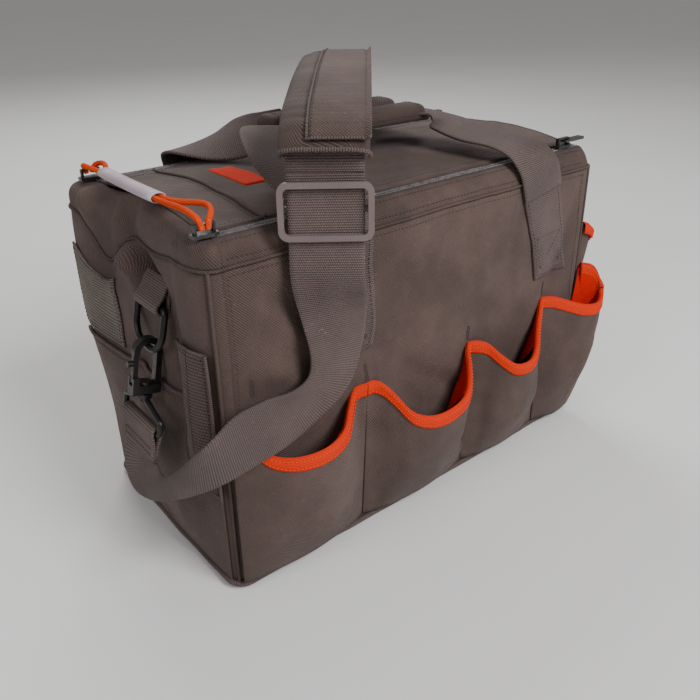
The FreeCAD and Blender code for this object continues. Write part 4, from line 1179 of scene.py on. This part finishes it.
def pad_layer(name, near, far, height, lap, material, slot, node=None, first=2, last=2, thick=1.2):
    """A layer of the pad's cover between two lines across it, on the outer or the inner side."""
    rows = []
    for i in range(first, len(pad_centres) - last):
        centre, normal = pad_frame(i)
        row = []
        for k in range(17):
            a = near + (far - near) * k / 16
            ribs = 0.5 * abs(math.sin(math.pi * i / 2.6)) ** 0.7 * fade(0.97 - abs(a), 0, 0.15)
            roll = (PAD_T if height < 0 else 3.0) * 0.5 * max(0.0, (abs(a) - 0.88) / 0.12) ** 1.6
            up = height + math.copysign(ribs + lap * fade(k, 0, 1) - roll, height)
            row.append(centre + side * (a * PAD_W / 2) + normal * up)
        rows.append(row)
    obj = cloth_grid(name, rows, material, thick)
    face_outwards(obj, pad_frame(60)[1] * math.copysign(1, height))
    return place(obj, "bag", slot, *([node] if node else [])), rows


def pad_wrap():
    """The cover: a layer under the webbing, and on top a flap that laps across and closes."""
    pad_layer("pad_cover_cloth", -0.99, 0.99, WEB_T / 2 + 1.6, 0.0, PAD_CLOTH, "pack_cloth", "pad_cover")
    outer = -(WEB_T / 2 + 0.3 + PAD_T + 1.4)
    flap, rows = pad_layer("pad_flap", -0.36, 1.0, outer, 1.2, CLOTH, "pack_cloth", first=7, last=0)
    outward = [-pad_frame(i + 7)[1] for i in range(len(rows))]
    free_edge = [row[0] + n * 0.5 for row, n in zip(rows, outward)]
    bead("pad_flap_edge", free_edge, 0.9, WEBBING, slot="webbing")
    bead("pad_flap_foot", [p + outward[0] * 0.4 for p in rows[0]], 0.9, WEBBING, slot="webbing")
    stitch_row("bag", "thread", [row[1] + n * 0.5 for row, n in zip(rows, outward)], outward)
    for name, i in (("pad_mouth_low", 1), ("pad_mouth_high", len(pad_centres) - 2)):
        centre, normal = pad_frame(i)
        ring = []
        for k in range(25):
            a = math.pi * k / 24
            wide = PAD_W / 2 * math.copysign(abs(math.cos(a)) ** 0.5, math.cos(a))
            ring.append(centre + side * wide - normal * (PAD_T + 3.0) * math.sin(a) ** 0.6)
        bead(name, ring, 1.5, WEBBING, slot="webbing")


pad_wrap()


# ---- end rings, hooks and other hardware ----------------------------------------------------------
def ring_tab(name, turn, node):
    """Webbing looped round a D-ring's bar."""
    outline = [(-203.0, 243), (-206.5, 239), (-210.0, 233), (-213.4, 229.4), (-216.4, 226.5), (-216.2, 222.0),
               (-212.5, 219.6), (-208.4, 221.5), (-206.6, 226.0), (-205.8, 232.0), (-203.5, 238)]
    stations = []
    for x, z in outline:
        p = Vector((x, WIRE.y, z))
        stations.append((tuple(other_end(p)) if turn else tuple(p), (0, 1, 0)))
    low, high = box_mm(node)
    obj = ribbon(name, stations, WEBBING, width=high.y - low.y, per_span=4, thick=2.0)
    place(obj, "bag", "webbing", node)


ring_tab("left_ring_tab_web", False, "left_ring_tab")
ring_tab("right_ring_tab_web", True, "right_ring_tab")


def dress(node, material, bevel=0.5):
    """Give a CAD node its finish, and ease its edges."""
    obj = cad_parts[node]
    obj.data.materials.clear()
    obj.data.materials.append(material)
    obj.data.polygons.foreach_set("use_smooth", [True] * len(obj.data.polygons))
    obj.data.set_sharp_from_angle(angle=math.radians(40))
    if bevel:
        ease = obj.modifiers.new("eased", "BEVEL")
        ease.width = bevel * MM
        ease.segments = 2
        ease.limit_method = "ANGLE"
        ease.angle_limit = math.radians(40)


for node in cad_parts:
    if node.startswith("zip_slider"):
        dress(node, METAL, 0.5)
    elif node.startswith("zip_puller"):
        dress(node, PULLER, 0.5)
    elif node.endswith(("snap_hook", "hook_gate")):
        dress(node, METAL, 0.9)
    elif node.endswith(("d_ring", "swivel_eye")):
        dress(node, METAL, 0.4)
    elif node == "strap_slide":
        dress(node, SLIDE, 1.1)
    elif node == "base_board":
        dress(node, BOARD, 0.8)

for (body, kind), (verts, faces) in stitch_sets.items():
    obj = make_object("stitching_%s_%s" % (body, kind), verts, faces,
                      ORANGE_THREAD if kind == "orange" else THREAD)
    place(obj, body, "binding" if kind == "orange" else "pack_cloth")


# ---- floor, light and camera ----------------------------------------------------------------------
def stage():
    floor_nodes = Nodes("floor")
    coords = floor_nodes.object_coords()
    tone = floor_nodes.mix(floor_nodes.noise(coords, 3.0), (0.70, 0.69, 0.68), (0.76, 0.755, 0.75))
    floor_nodes.link(tone, floor_nodes.bsdf.inputs["Base Color"])
    material = floor_nodes.finish(0.85)
    floor = make_object("floor", [(-40000, -40000, 0), (40000, -40000, 0), (40000, 40000, 0), (-40000, 40000, 0)],
                        [(0, 1, 2, 3)], material)
    floor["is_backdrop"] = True
    world = bpy.data.worlds.new("studio")
    world.use_nodes = True
    world.node_tree.nodes["Background"].inputs["Color"].default_value = (1.0, 0.98, 0.96, 1.0)
    world.node_tree.nodes["Background"].inputs["Strength"].default_value = 0.32
    bpy.context.scene.world = world
    for name, position, power, size in (("key", (0.25, -1.7, 1.6), 50, 0.9), ("fill", (-1.6, -0.3, 1.2), 9, 0.8),
                                      ("back", (0.5, 1.5, 1.7), 24, 0.9)):
        lamp = bpy.data.lights.new(name, "AREA")
        lamp.energy = power
        lamp.size = size
        obj = bpy.data.objects.new(name, lamp)
        obj.location = position
        obj.rotation_euler = (Vector((0, 0, 0.15)) - Vector(position)).to_track_quat("-Z", "Y").to_euler()
        bpy.context.scene.collection.objects.link(obj)


def camera():
    azimuth, elevation, roll = math.radians(-39.3), math.radians(25.98), math.radians(-0.66)
    target, distance = Vector((0, 0, 0.13)), 0.7084
    back = Vector((math.sin(azimuth) * math.cos(elevation), -math.cos(azimuth) * math.cos(elevation),
                   math.sin(elevation)))
    data = bpy.data.cameras.new("camera")
    data.sensor_width = 36.0
    data.lens = 38.0
    data.shift_x, data.shift_y = -0.0063, -0.0413
    obj = bpy.data.objects.new("camera", data)
    turn = (-back).to_track_quat("-Z", "Y").to_matrix().to_4x4() @ Matrix.Rotation(roll, 4, "Z")
    obj.matrix_world = Matrix.Translation(target + back * distance) @ turn
    bpy.context.scene.collection.objects.link(obj)
    bpy.context.scene.camera = obj


stage()
camera()

low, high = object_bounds()
